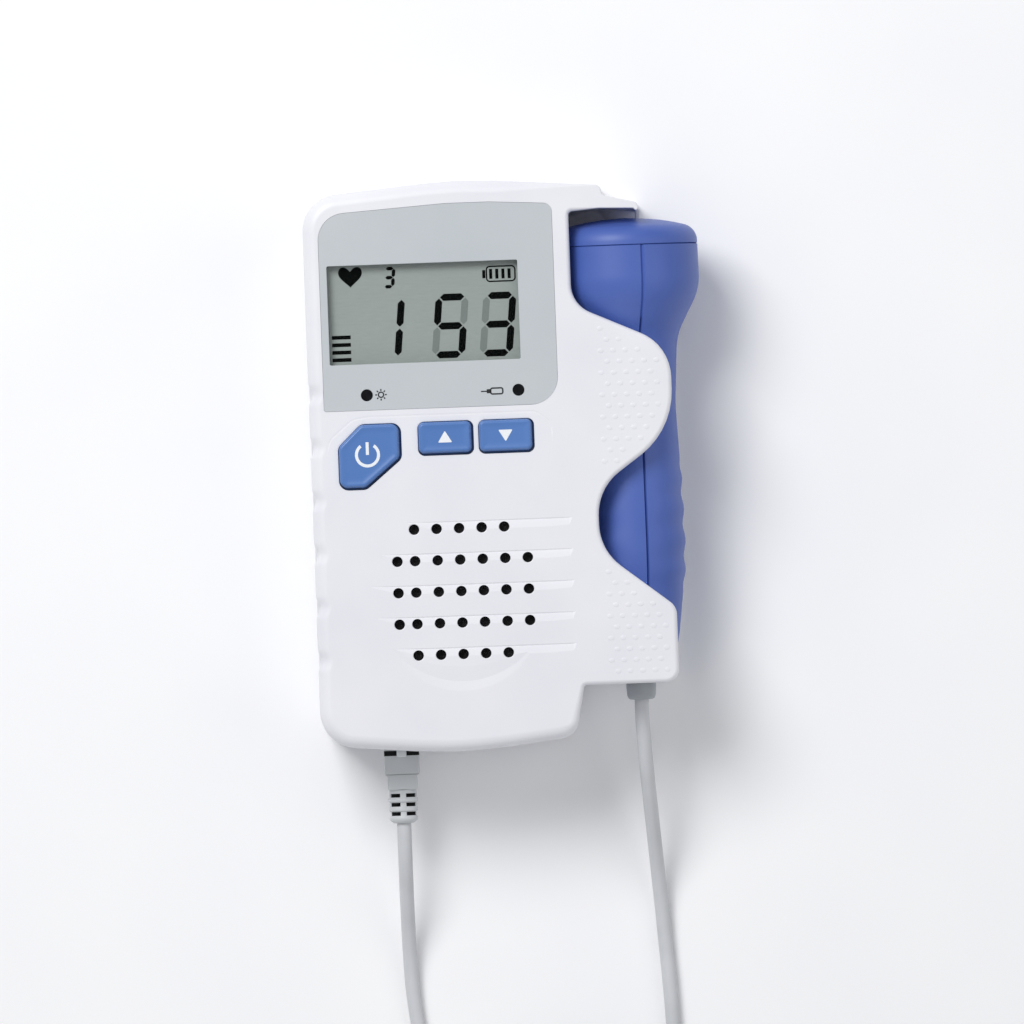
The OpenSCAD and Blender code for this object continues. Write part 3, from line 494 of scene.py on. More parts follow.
def speaker_weave():
    """Black acoustic cloth behind the sound holes, a plain weave with threads 0.5 mm apart."""
    made, tree, shader, place = material("black_acoustic_cloth", IOR=1.45)
    shader.inputs["Sheen Weight"].default_value = 0.05
    across = add_node(
        tree, "ShaderNodeTexWave", {"bands_direction": "X"}, {"Vector": place, "Scale": 0.314 / (0.5 * MM)}
    )
    along = add_node(
        tree, "ShaderNodeTexWave", {"bands_direction": "Y"}, {"Vector": place, "Scale": 0.314 / (0.5 * MM)}
    )
    woven = add_node(
        tree, "ShaderNodeMath", {"operation": "MULTIPLY"}, {0: across.outputs["Fac"], 1: along.outputs["Fac"]}
    ).outputs[0]
    tree.links.new(between(tree, woven, linear("#030303"), linear("#0E0E10")), shader.inputs["Base Color"])
    shader.inputs["Roughness"].default_value = 0.85
    bump = add_node(tree, "ShaderNodeBump", {}, {"Strength": 0.6, "Distance": 0.1 * MM, "Height": woven})
    tree.links.new(bump.outputs[0], shader.inputs["Normal"])
    return made


def solder_mask():
    """Green solder mask over copper: glossy, with the tracks as slightly lighter bands."""
    made, tree, shader, place = material("green_solder_mask", IOR=1.5)
    tracks = add_node(
        tree, "ShaderNodeTexBrick", {"offset": 0.37, "squash": 1.6},
        {"Vector": place, "Scale": 1 / (6 * MM), "Mortar Size": 0.03, "Color1": linear("#0E4A2A"),
         "Color2": linear("#0B4124"), "Mortar": linear("#1C6B40")},
    )
    tree.links.new(tracks.outputs["Color"], shader.inputs["Base Color"])
    tree.links.new(mottled(tree, place, 3, 0.2, 0.3), shader.inputs["Roughness"])
    return made


def plated_steel(name="nickel_plated_steel", colour="#B9BBBC", shade="#A6A8AA"):
    """Bright plated steel of screws and contacts, with fine rolling marks along it."""
    made, tree, shader, place = material(name, Metallic=1.0)
    stretched = add_node(tree, "ShaderNodeMapping", {}, {"Vector": place, "Scale": (1.0, 0.2, 1.0)})
    marks = mottled(tree, stretched.outputs[0], 0.3, 0, 1, 3)
    tree.links.new(between(tree, marks, linear(colour), linear(shade)), shader.inputs["Base Color"])
    tree.links.new(mottled(tree, stretched.outputs[0], 0.5, 0.22, 0.38), shader.inputs["Roughness"])
    return made


def cell_wrap():
    """The shrink wrap of a dry cell: glossy dark grey film drawn tight over the steel can."""
    colours = linear("#3A3D42"), linear("#44484E")
    return toned("shrink_wrapped_can", colours, 8, 4, (0.22, 0.32), IOR=1.5, Coat_Weight=0.3)


def silvered_ceramic():
    """Fired silver on the ultrasound crystals: pale warm metal, slightly rough."""
    return plated_steel("fired_silver_on_ceramic", "#C8B48A", "#B8A478")


def filled_epoxy():
    """The dark rubbery backing behind the crystals, with specks of filler."""
    return moulded_plastic("filled_epoxy", linear("#34353A"), linear("#26272A"), 0.6, 0.3, 0.03)


# --- Properties ----------------------------------------------------------------------------------


def colour_property(name, hex_colour, description):
    """A colour that a user may change, with its default as sRGB hex."""
    return FloatVectorProperty(
        name=name, description=description, default=linear(hex_colour)[:3], subtype="COLOR", min=0, max=1
    )


def length_property(name, millimetres, description):
    """A length that a user may change."""
    return FloatProperty(
        name=name, description=description, default=millimetres * MM, unit="LENGTH", min=0, precision=5
    )


class DopplerLooks(PropertyGroup):
    """Colours of the monitor and its probe"""

    case: colour_property("Case", "#EBEBF0", "Colour of the two case halves and the battery cover")
    panel: colour_property("Display panel", "#C3C8CC", "Colour of the printed film round the screen")
    screen: colour_property("Screen", "#AAB4B0", "Colour of the screen behind the digits")
    button: colour_property("Buttons", "#567EBE", "Colour of the three buttons")
    probe: colour_property("Probe", "#4C66B4", "Colour of the probe's shells and cap")
    cord: colour_property("Cord", "#CECFD3", "Colour of the cord's jacket")


class DopplerSizes(PropertyGroup):
    """Sizes of the finish of the monitor"""

    rim: length_property("Outer rim", 3.2, "Rounding of the case's outer edge")
    pocket_rim: length_property("Pocket rim", 1.2, "Rounding of the front wall's wavy edge beside the probe")
    hole_rim: length_property("Hole rim", 0.3, "Rounding of the sound holes' edges")
    louvre: length_property("Louvre depth", 0.32, "Depth of the steps above the rows of sound holes")
    crescent: length_property("Speaker hollow", 0.22, "Depth of the shallow hollow below the speaker")
    dot_pitch: length_property("Grip dot spacing", 3.0, "Spacing of the grip dots across the case")
    seam: length_property("Seam width", 0.22, "Width of the chamfers along the seams of the case and probe")
    ripple: length_property("Handle ripple", 0.28, "Height of the finger ripples on the probe's handle")
    probe_sides: IntProperty(
        name="Probe facets", description="Number of facets round half of the probe", default=64, min=16,
        max=128,
    )


# --- Pieces --------------------------------------------------------------------------------------


def looks():
    return bpy.context.scene.doppler_looks


def sizes():
    return bpy.context.scene.doppler_sizes


def in_mm(length):
    return length / MM


def tube(name, route, surface):
    """A round cord along a route of points in millimetres, as a mesh with closed ends."""
    curve = bpy.data.curves.new(name, "CURVE")
    curve.dimensions = "3D"
    curve.bevel_depth = CORD_D / 2 * MM
    curve.bevel_resolution = 4
    curve.use_fill_caps = True
    line = curve.splines.new("POLY")
    line.points.add(len(route) - 1)
    for point, place in zip(line.points, route):
        point.co = (*(Vector(place) * MM), 1)
    drawn = bpy.data.objects.new(name, curve)
    bpy.context.scene.collection.objects.link(drawn)
    graph = bpy.context.evaluated_depsgraph_get()
    mesh = bpy.data.meshes.new_from_object(drawn.evaluated_get(graph))
    bpy.data.objects.remove(drawn)
    bpy.data.curves.remove(curve)
    piece = bpy.data.objects.new(name, mesh)
    bpy.context.scene.collection.objects.link(piece)
    piece.data.shade_smooth()
    piece.data.set_sharp_from_angle(angle=math.radians(60))
    piece.data.materials.clear()
    piece.data.materials.append(surface)
    return piece


def smooth_route(route, steps=6):
    """A route with points added on the smooth curve through its own points."""
    points = [Vector(p) for p in route]
    full = []
    for i in range(len(points) - 1):
        p0, p1, p2 = points[max(i - 1, 0)], points[i], points[i + 1]
        p3 = points[min(i + 2, len(points) - 1)]
        for k in range(steps):
            t = k / steps
            full.append(
                0.5 * ((2 * p1) + (p2 - p0) * t + (2 * p0 - 5 * p1 + 4 * p2 - p3) * t ** 2
                       + (3 * p1 - p0 - 3 * p2 + p3) * t ** 3)
            )
    return full + [points[-1]]


class DOPPLER_OT_cord(Operator):
    """Lay the cord from the probe to its coil and on to the plug"""

    bl_idname = "doppler.cord"
    bl_label = "Cord"

    def execute(self, context):
        vinyl = cord_vinyl(looks())
        cords = [
            ("probe_cord", smooth_route(PROBE_ROUTE), "cord_probe_run", "object", "loose"),
            ("coiled_cord", coil_route(), "cord_coil", "object", "coiled"),
            ("plug_cord", smooth_route(PLUG_ROUTE)[::-1], "cord_plug_run", "plug", "loose"),
        ]
        made = {}
        for name, route, node, far_end, lay in cords:
            piece = tube(name, route, vinyl)
            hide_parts(node)
            made[name] = piece
        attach(made["coiled_cord"], "case")
        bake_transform(made["probe_cord"])
        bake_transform(made["plug_cord"])
        return {"FINISHED"}


CAMERA_AT = Vector((0.38, -11.65, 0)) * MM      # the point of the object in the middle of the photograph
CAMERA_TURN = -2.1                              # the object stands turned by this much, in degrees
CAMERA_AWAY = 6000.0                            # distance from the front face, in millimetres
VIEW_W = 249.76                                 # width of the photograph at the front face, in millimetres


class DOPPLER_OT_stage(Operator):
    """Set up the camera, the lamps and the pale floor"""

    bl_idname = "doppler.stage"
    bl_label = "Camera, lamps and floor"

    def execute(self, context):
        scene = context.scene
        camera = bpy.data.objects.new("camera", bpy.data.cameras.new("camera"))
        scene.collection.objects.link(camera)
        camera.location = CAMERA_AT + Vector((0, 0, FACE_Z + CAMERA_AWAY)) * MM
        camera.rotation_euler = (0, 0, math.radians(CAMERA_TURN))
        camera.data.sensor_width = 36
        camera.data.lens = 36 * CAMERA_AWAY / VIEW_W
        scene.camera = camera

        self.lamp(scene, "key_softbox", (-0.55, 0.75, 1.15), 0.65, 14.5)
        self.lamp(scene, "fill_softbox", (0.9, 0.1, 0.9), 0.9, 2.2)
        self.lamp(scene, "low_softbox", (-0.1, -1.1, 0.8), 0.9, 1.8)

        world = bpy.data.worlds.new("pale_room")
        scene.world = world
        world.use_nodes = True
        world.node_tree.nodes["Background"].inputs["Color"].default_value = linear("#F2F4F7")
        world.node_tree.nodes["Background"].inputs["Strength"].default_value = 0.40
        scene.view_settings.view_transform = "Standard"

        bm = bmesh.new()
        bmesh.ops.create_grid(bm, x_segments=1, y_segments=1, size=4)
        floor = finished(bm, "floor", self.paper(), 30)
        floor.modifiers.clear()
        return {"FINISHED"}

    def lamp(self, scene, name, place, size, power):
        """A square soft lamp that looks at the object."""
        light = bpy.data.lights.new(name, "AREA")
        light.size = size
        light.energy = power
        lamp = bpy.data.objects.new(name, light)
        scene.collection.objects.link(lamp)
        lamp.location = place
        lamp.rotation_euler = (-Vector(place)).to_track_quat("-Z", "Y").to_euler()

    def paper(self):
        """Seamless white backdrop paper: it is white to the camera and keeps the object's shadow."""
        made, tree, shader, place = material("backdrop_paper", IOR=1.4)
        shader.inputs["Roughness"].default_value = 0.9
        colour = between(tree, mottled(tree, place, 60, 0, 1), linear("#FBFBFC"), linear("#F8F8FA"))
        tree.links.new(colour, shader.inputs["Base Color"])
        return made


def front_rim(point):
    """Rounding of the front face's edge: soft outside, tighter at the pocket, tightest at the lip."""
    if point.x > 20 and point.y > 58:
        return 0.4
    outer, pocket = in_mm(sizes().rim), in_mm(sizes().pocket_rim)
    return outer + (pocket - outer) * ease((point.x - 12) / 5)


def rear_rim(point):
    """Rounding of the back's edge."""
    if point.x > 20 and point.y > 58:
        return 0.9
    return 3.0 + (1.4 - 3.0) * ease((point.x - 12) / 5)


NOTCH_Y = [18.7 - 13 * i for i in range(6)]
NOTCH_W, NOTCH_DEPTH = 6.2, 0.86
NOTCH_FOOT_Z = 5.5         # the notches run out below this height


def notched(points):
    """Adds points to the straight left side of an outline, and says how deep a notch is at each point."""
    found, dips = [], []
    for a, b in zip(points, points[1:] + points[:1]):
        found.append(a)
        dips.append(0.0)
        if abs(a.x - LEFT_X) < 0.01 and abs(b.x - LEFT_X) < 0.01:
            for y in NOTCH_Y[::-1]:
                for k in range(-8, 9):
                    found.append(Vector((LEFT_X, y + NOTCH_W * k / 16)))
                    dips.append(NOTCH_DEPTH * (1 + math.cos(math.pi * k / 8)) / 2)
    return found, dips


def rounded_block(outline, rim, z_flat, z_face, seam=0.0):
    """A solid over an outline whose face at z_face has a rounded rim, with soft notches in its left side."""
    skin = 0.01                    # it stands this much proud, so that only the rim trims the case
    points, dips = notched(rounded(outline))
    up = 1 if z_face > z_flat else -1
    radii = [rim(p) for p in points]

    def ring(inward, z, share=1.0):
        moved = moved_in(points, inward)
        return at_height([p + Vector((dip * share, 0)) for p, dip in zip(moved, dips)], z)

    rings = [ring(seam, z_flat)] if seam else []
    rings.append(ring(-skin, z_flat + up * seam))
    if up < 0:
        rings.append(ring(-skin, NOTCH_FOOT_Z))
    steps = 10
    for k in range(steps + 1):
        angle = math.pi / 2 * k / steps
        inward = [r * (1 - math.cos(angle)) - skin for r in radii]
        heights = [z_face + up * (skin - r * (1 - math.sin(angle))) for r in radii]
        rings.append(ring(inward, heights, 1.0 if up > 0 else 0.0))
    bm = bmesh.new()
    loft(bm, rings)
    return bm


def circle_ring(x, y, z, radius, count=40):
    """A flat ring of points."""
    return [
        (x + radius * math.cos(math.tau * k / count), y - radius * math.sin(math.tau * k / count), z)
        for k in range(count)
    ]


SPEAKER_X, SPEAKER_Y = -12.65, -30.45
HOLE_FOOT_Z = 34.8         # below the front wall
# The steps over the rows of sound holes: [left end, place along the case], and their right end.
LOUVRES = [[-25.2, -13.3], [-31.6, -20.95], [-34.4, -28.65], [-33.2, -36.35], [-29.2, -44.05]]
LOUVRE_RIGHT = 15.0
LOUVRE_RUN = 2.2           # length of the ramp below a step


def louvre_cutters():
    """Steps down over the rows of sound holes, each with a ramp back up to the face."""
    bm = bmesh.new()
    depth = in_mm(sizes().louvre)
    for left, y in LOUVRES:
        rings = []
        for x, share in [
            (left, 0.12), (left + 2, 0.35), (left + 5, 0.75), (left + 9, 1), (LOUVRE_RIGHT - 6, 1),
            (LOUVRE_RIGHT - 0.7, 0.85), (LOUVRE_RIGHT, 0.12),
        ]:
            rings.append([
                (x, y + 0.02, FACE_Z + 0.5), (x, y, FACE_Z), (x, y - 0.28 * share, FACE_Z - depth * share),
                (x, y - LOUVRE_RUN * share, FACE_Z), (x, y - LOUVRE_RUN * share, FACE_Z + 0.5),
            ])
        loft(bm, rings)
    return bm


def crescent_cutter():
    """A shallow hollow below the speaker, where the face falls away and rises again."""
    bm = bmesh.new()
    depth = in_mm(sizes().crescent)
    rings = []
    for k in range(33):
        share = 0.1 + 0.9 * math.sin(math.pi * k / 32)
        angle = math.radians(218 + 104 * k / 32)
        out = Vector((math.cos(angle), math.sin(angle)))
        middle = Vector((SPEAKER_X, SPEAKER_Y))
        ring = []
        for radius, z in [
            (22 - 3.6 * share, 0.5), (22 - 3.6 * share, 0), (22, -depth * share), (22 + 2.4 * share, 0),
            (22 + 2.4 * share, 0.5),
        ]:
            ring.append((*(middle + out * radius), FACE_Z + z))
        rings.append(ring)
    loft(bm, rings)
    return bm


HOLE_R, BUTTON_R = 2, 12   # openings with a smaller mean radius are sound holes, or else button openings


def front_openings():
    """The rings of points round the openings in the front face, each with its middle and mean radius."""
    source = bmesh.new()
    source.from_mesh(frame["nodes"]["front_case"].data)
    bmesh.ops.remove_doubles(source, verts=source.verts, dist=0.002 * MM)
    rings = face_rings(source, FACE_Z)[1:]
    source.free()
    found = []
    for ring in rings:
        middle = sum(ring, Vector((0, 0))) / len(ring)
        found.append((ring, middle, sum((p - middle).length for p in ring) / len(ring)))
    return found


def hole_cutters():
    """What opens the sound holes a little wider and softens their rims."""
    soft = in_mm(sizes().hole_rim)
    bm = bmesh.new()
    for _, (x, y), radius in front_openings():
        if radius < HOLE_R:
            loft(bm, [
                circle_ring(x, y, z, radius + wider) for z, wider in [
                    (HOLE_FOOT_Z, 0.04), (FACE_Z - soft, 0.04), (FACE_Z - soft * 0.35, soft * 0.35),
                    (FACE_Z + 0.02, soft), (FACE_Z + 0.6, soft),
                ]
            ])
    return bm


def button_collars():
    """Thin collars that close the case round the buttons, mostly at the upper left."""
    bm = bmesh.new()
    for ring, _, radius in front_openings():
        if HOLE_R < radius < BUTTON_R:
            inner = [p + Vector((0.1, -0.1)) for p in moved_in(ring, 0.12)]
            edge = [p + Vector((0.1, -0.1)) for p in moved_in(ring, 0.05)]
            outer = moved_in(ring, -0.4)
            loft(bm, [
                at_height(line, FACE_Z - drop) for line, drop in [
                    (outer, 1.1), (outer, 0.03), (edge, 0.03), (inner, 0.1), (inner, 1.1), (outer, 1.1),
                ]
            ], closed=False)
    bmesh.ops.remove_doubles(bm, verts=bm.verts, dist=0.0005 * MM)
    return bm


# The fine groove that frames the buttons: a line of corners [x, y, rounding].
BUTTON_FRAME = [
    [-44.2, 3.5, 0], [-43.4, 7.4, 3], [-37.8, 12.2, 4], [-34.0, 12.75, 6], [7.2, 12.75, 4], [10.7, 9.8, 3],
    [10.9, 5.0, 0],
]


def frame_groove():
    """A shallow groove swept along the frame of the buttons."""
    line = rounded([[-44.2, -30, 0]] + BUTTON_FRAME + [[10.9, -30, 0]])[1:-1]
    width, depth = 0.3, 0.15
    bm = bmesh.new()
    rings = []
    for i, p in enumerate(line):
        ahead = (line[min(i + 1, len(line) - 1)] - line[max(i - 1, 0)]).normalized()
        side = Vector((ahead.y, -ahead.x))
        share = ease(min(i, len(line) - 1 - i) / 2 + 0.12)
        w, d = width * share, depth * share
        rings.append([
            (*(p + side * w), FACE_Z + 0.3), (*(p + side * w), FACE_Z), (*p, FACE_Z - d),
            (*(p - side * w), FACE_Z), (*(p - side * w), FACE_Z + 0.3),
        ])
    loft(bm, rings)
    return bm


def settled(piece):
    """Points the normals of the flat front face and of its grooves straight, so that they look flat."""
    mesh = piece.data
    normals = [n.vector.copy() for n in mesh.corner_normals]
    level = [abs(v.co.z / MM - FACE_Z) < 0.01 for v in mesh.vertices]
    for face in mesh.polygons:
        if face.normal.z < 0.9:
            continue
        skin = all(level[v] for v in face.vertices)
        place = face.center / MM
        grille = math.hypot(place.x - SPEAKER_X, place.y - SPEAKER_Y) < 32
        for loop, v in zip(face.loop_indices, face.vertices):
            if skin or (level[v] and not grille):
                normals[loop] = Vector((0, 0, 1))
            elif grille:
                normals[loop] = face.normal.copy()
    mesh.normals_split_custom_set(normals)


class DOPPLER_OT_front_shell(Operator):
    """Make the front half of the case, with its rounded rim, openings, louvres and notches"""

    bl_idname = "doppler.front_shell"
    bl_label = "Front shell"

    def execute(self, context):
        shell = copied("front_case", "front_shell")
        seam = in_mm(sizes().seam)
        combined(shell, "DIFFERENCE", hole_cutters(), louvre_cutters(), crescent_cutter(), frame_groove())
        combined(shell, "INTERSECT", rounded_block(FRONT_OUTLINE, front_rim, SEAM_Z - 0.01, FACE_Z, seam))
        smooth(shell, 28)
        shell.modifiers.clear()
        settled(shell)
        shell.data.materials.clear()
        shell.data.materials.append(bpy.data.materials["satin_white_abs"])
        placed(shell, "case", "front_case")
        collars = finished(button_collars(), "button_collars", bpy.data.materials["satin_white_abs"])
        placed(collars, "case")
        return {"FINISHED"}


class DOPPLER_OT_rear_shell(Operator):
    """Make the rear half of the case and the battery cover, with their rounded rim"""

    bl_idname = "doppler.rear_shell"
    bl_label = "Rear shell and battery cover"

    def execute(self, context):
        seam = in_mm(sizes().seam)
        for node, name, body, line in [
            ("rear_case", "rear_shell", "case", seam),
            ("battery_cover", "battery_door", "battery_cover", 0.0),
        ]:
            shell = copied(node, name)
            combined(shell, "INTERSECT", rounded_block(REAR_OUTLINE, rear_rim, SEAM_Z + 0.01, 0.0, line))
            smooth(shell, 28)
            shell.data.materials.clear()
            shell.data.materials.append(bpy.data.materials["satin_white_abs"])
            placed(shell, body, node)
        return {"FINISHED"}


def inside(point, outline):
    """Whether a point lies inside an outline of points."""
    hit = False
    for a, b in zip(outline, outline[1:] + outline[:1]):
        if (a.y > point.y) != (b.y > point.y):
            if point.x < a.x + (b.x - a.x) * (point.y - a.y) / (b.y - a.y):
                hit = not hit
    return hit


class DOPPLER_OT_grip_dots(Operator):
    """Scatter the raised oval dots over the two grip areas beside the pocket"""

    bl_idname = "doppler.grip_dots"
    bl_label = "Grip dots"

    def execute(self, context):
        bm = bmesh.new()
        pitch = in_mm(sizes().dot_pitch)
        field = moved_in(rounded(FRONT_OUTLINE), 2.2)
        rows = range(int((33 + 52) / 2.7) + 1)
        for row in rows:
            y = 32.3 - 2.7 * row
            if -26 < y < -0.6:
                continue
            for column in range(7):
                point = Vector((23.4 + pitch * (column + (0.5 if row % 2 else 0)), y))
                if not inside(point, field):
                    continue
                place = Matrix.Translation(Vector((point.x, point.y, FACE_Z)) * MM)
                size = Matrix.Diagonal((0.75 * MM, 0.58 * MM, 0.09 * MM, 1))
                bmesh.ops.create_uvsphere(bm, u_segments=16, v_segments=12, radius=1, matrix=place @ size)
        low = [v for v in bm.verts if v.co.z < (FACE_Z - 0.04) * MM]
        bmesh.ops.delete(bm, geom=low, context="VERTS")
        rims = [e for e in bm.edges if e.is_boundary]
        bmesh.ops.holes_fill(bm, edges=rims)
        dots = finished(bm, "grip_dots", bpy.data.materials["satin_white_abs"], 50)
        placed(dots, "case")
        return {"FINISHED"}


# --- Display -------------------------------------------------------------------------------------

# The seven bars of a digit: each from one corner of the digit to another, in columns 0, 1 and rows 0, 1, 2.
BARS = {
    "top": [(0, 2), (1, 2)], "middle": [(0, 1), (1, 1)], "bottom": [(0, 0), (1, 0)],
    "upper_left": [(0, 1), (0, 2)], "upper_right": [(1, 1), (1, 2)],
    "lower_left": [(0, 0), (0, 1)], "lower_right": [(1, 0), (1, 1)],
}
FIVE = ["top", "upper_left", "middle", "lower_right", "bottom"]
THREE = ["top", "upper_right", "middle", "lower_right", "bottom"]
ONE = ["upper_right", "lower_right"]
SLANT = 0.1                # how far a digit leans to the right for each millimetre up


def digit_bars(bars, x, y, width, rise, thick, gap):
    """Outlines of some bars of a digit whose lower left corner is at x, y."""
    outlines = []
    for bar in bars:
        (c0, r0), (c1, r1) = BARS[bar]
        a = Vector((x + c0 * width, y + r0 * rise))
        b = Vector((x + c1 * width, y + r1 * rise))
        along = (b - a).normalized()
        side = Vector((-along.y, along.x)) * thick / 2
        a, b = a + along * gap, b - along * gap
        tip = along * thick / 2
        flat = [a, a + tip + side, b - tip + side, b, b - tip - side, a + tip - side]
        middle_y = y + rise
        outlines.append([Vector((p.x + SLANT * (p.y - middle_y), p.y)) for p in flat])
    return outlines


def plates(bm, outlines, z, thick):
    """Thin plates over flat outlines, from the height z."""
    for outline in outlines:
        loft(bm, [at_height(outline, z), at_height(outline, z + thick)])


def ring_band(bm, outline, width, z, thick):
    """A thin flat frame of that width inside a clockwise outline."""
    inner = moved_in(outline, width)
    top = z + thick
    lines = [(outline, z), (outline, top), (inner, top), (inner, z), (outline, z)]
    loft(bm, [at_height(line, height) for line, height in lines], closed=False)
    bmesh.ops.remove_doubles(bm, verts=bm.verts, dist=0.0005 * MM)


def box_outline(x0, y0, x1, y1, radius=0.0):
    return rounded([[x0, y1, radius], [x1, y1, radius], [x1, y0, radius], [x0, y0, radius]], 15)


def heart_outline(x, y, width, height):
    """A heart with full sides, by its usual curve."""
    points = []
    for k in range(40):
        t = math.tau * k / 40
        u = math.copysign(16 * abs(math.sin(t)) ** 2.2, math.sin(t))
        v = 13 * math.cos(t) - 5 * math.cos(2 * t) - 2 * math.cos(3 * t) - math.cos(4 * t)
        points.append(Vector((x + u * width / 32, y + (v + 2.5) * height / 29)))
    return points


def round_outline(x, y, radius, count=20):
    return [Vector(p[:2]) for p in circle_ring(x, y, 0, radius, count)]


INK_T = 0.03               # thickness of a printed or switched layer, drawn thick enough to show


class DOPPLER_OT_display(Operator):
    """Show the reading on the screen and the marks beside the status lights"""

    bl_idname = "doppler.display"
    bl_label = "Display"

    def execute(self, context):
        film = polariser_film(looks())
        dark = printed_ink("switched_crystal", "#020504", "#050908", 0.6, 1.08)
        faint = printed_ink("idle_crystal", "#8B9591", "#87918D", 0.45)
        ink = printed_ink("black_screen_ink", "#1B1D1F", "#232528", 0.55)
        dress("lcd_glass", film)
        self.panel()
        dress("display_lens", acrylic_window())

        width, rise, thick = 6.4, 7.0, 1.7
        low = 27.3
        lit = bmesh.new()
        idle = bmesh.new()
        for x, bars in [(-31.75, ONE), (-16.2, FIVE), (-4.55, THREE)]:
            plates(lit, digit_bars(bars, x, low, width, rise, thick, 0.22), GLASS_Z - 0.01, INK_T)
            others = [b for b in BARS if b not in bars and bars is not ONE]
            plates(idle, digit_bars(others, x, low, width, rise, thick, 0.22), GLASS_Z - 0.01, INK_T / 2)
        plates(lit, digit_bars(THREE, -28.5, 44.4, 2.0, 2.2, 0.85, 0.08), GLASS_Z - 0.01, INK_T)
        plates(lit, [heart_outline(-37.0, 47.0, 5.8, 5.0)], GLASS_Z - 0.01, INK_T)
        for row in range(4):
            y = 26.9 + 1.83 * row
            plates(lit, [box_outline(-42.0, y - 0.46, -37.4, y + 0.46)], GLASS_Z - 0.01, INK_T)
        ring_band(lit, box_outline(-3.9, 44.6, 3.4, 48.6, 1.0), 0.35, GLASS_Z - 0.01, INK_T)
        plates(lit, [box_outline(-4.75, 45.6, -4.0, 47.6, 0.1)], GLASS_Z - 0.01, INK_T)
        for bar in range(4):
            x = -2.7 + 1.5 * bar
            plates(lit, [box_outline(x - 0.38, 45.4, x + 0.38, 47.8)], GLASS_Z - 0.01, INK_T)
        for bm, name, surface in [(lit, "screen_reading", dark), (idle, "screen_idle_bars", faint)]:
            placed(finished(bm, name, surface, 30), "case")

        marks = bmesh.new()
        self.sun_mark(marks, -30.5, 18.1)
        self.probe_mark(marks, -3.0, 18.0)
        placed(finished(marks, "panel_marks", ink, 30), "case")
        return {"FINISHED"}

    def panel(self):
        """The printed panel, which fills its recess to a hair, with a soft edge."""
        piece = softened("display_panel", "screen_panel", 0.12)
        low, high = limits("display_panel")
        middle = (low + high) / 2 * MM
        for v in piece.data.vertices:
            for k, spare in ((0, 0.1), (1, 0.1)):
                half = (high[k] - low[k]) / 2
                v.co[k] = middle[k] + (v.co[k] - middle[k]) * (1 + spare / half)
        piece.data.materials.append(panel_film(looks()))
        placed(piece, "case", "display_panel")

    def sun_mark(self, bm, x, y):
        """A small lamp sign: a ring with eight rays."""
        ring_band(bm, round_outline(x, y, 0.8), 0.32, PANEL_Z - 0.01, INK_T)
        for k in range(8):
            angle = math.tau * k / 8
            out = Vector((math.cos(angle), math.sin(angle)))
            side = Vector((-out.y, out.x)) * 0.16
            middle = Vector((x, y))
            ray = [middle + out * 0.95 + side, middle + out * 1.4 + side, middle + out * 1.4 - side,
                   middle + out * 0.95 - side]
            plates(bm, [ray], PANEL_Z - 0.01, INK_T)

    def probe_mark(self, bm, x, y):
        """A small probe sign: a cord and a handle."""
        ring_band(bm, box_outline(x - 0.9, y - 0.9, x + 2.4, y + 0.9, 0.6), 0.36, PANEL_Z - 0.01, INK_T)
        plates(bm, [box_outline(x - 3.1, y - 0.15, x - 1.6, y + 0.15)], PANEL_Z - 0.01, INK_T)
        plates(bm, [box_outline(x - 1.7, y - 0.5, x - 0.8, y + 0.5)], PANEL_Z - 0.01, INK_T)


def dress(node, surface):
    """Gives a CAD node that stays in view its material."""
    slots = frame["nodes"][node].data.materials
    slots.clear()
    slots.append(surface)


# --- Buttons -------------------------------------------------------------------------------------


# Corners of the buttons: [x, y, rounding], clockwise.
POWER_CORNERS = [
    [-35.8, 11, 2.2], [-26.2, 11, 2.2], [-26.2, 2.5, 2.2], [-34.9, -4.7, 2.2], [-41.4, -4.7, 2.2],
    [-41.4, 5.6, 2.2],
]


def cap_outline(corners, distance):
    """A button's outline moved inwards, with its roundings shrunk to match, a hair off to the upper left."""
    flat = [p + Vector((-0.12, 0.12)) for p in moved_in([Vector(c[:2]) for c in corners], distance)]
    return rounded([[p.x, p.y, max(c[2] - distance, 0.25)] for p, c in zip(flat, corners)], 7.5)


def cap_rings(corners, top, foot):
    """A button cap: a steep drafted wall, a rounded rim, and a top that dips a little in the middle."""
    profile = [
        (0.14, foot), (0.14, top - 1.5), (0.24, top - 1.0), (0.44, top - 0.42), (0.56, top - 0.18),
        (0.72, top - 0.05), (0.92, top), (1.15, top - 0.03), (1.5, top - 0.11), (2.0, top - 0.18),
        (2.6, top - 0.2),
    ]
    return [at_height(cap_outline(corners, inward), z) for inward, z in profile]


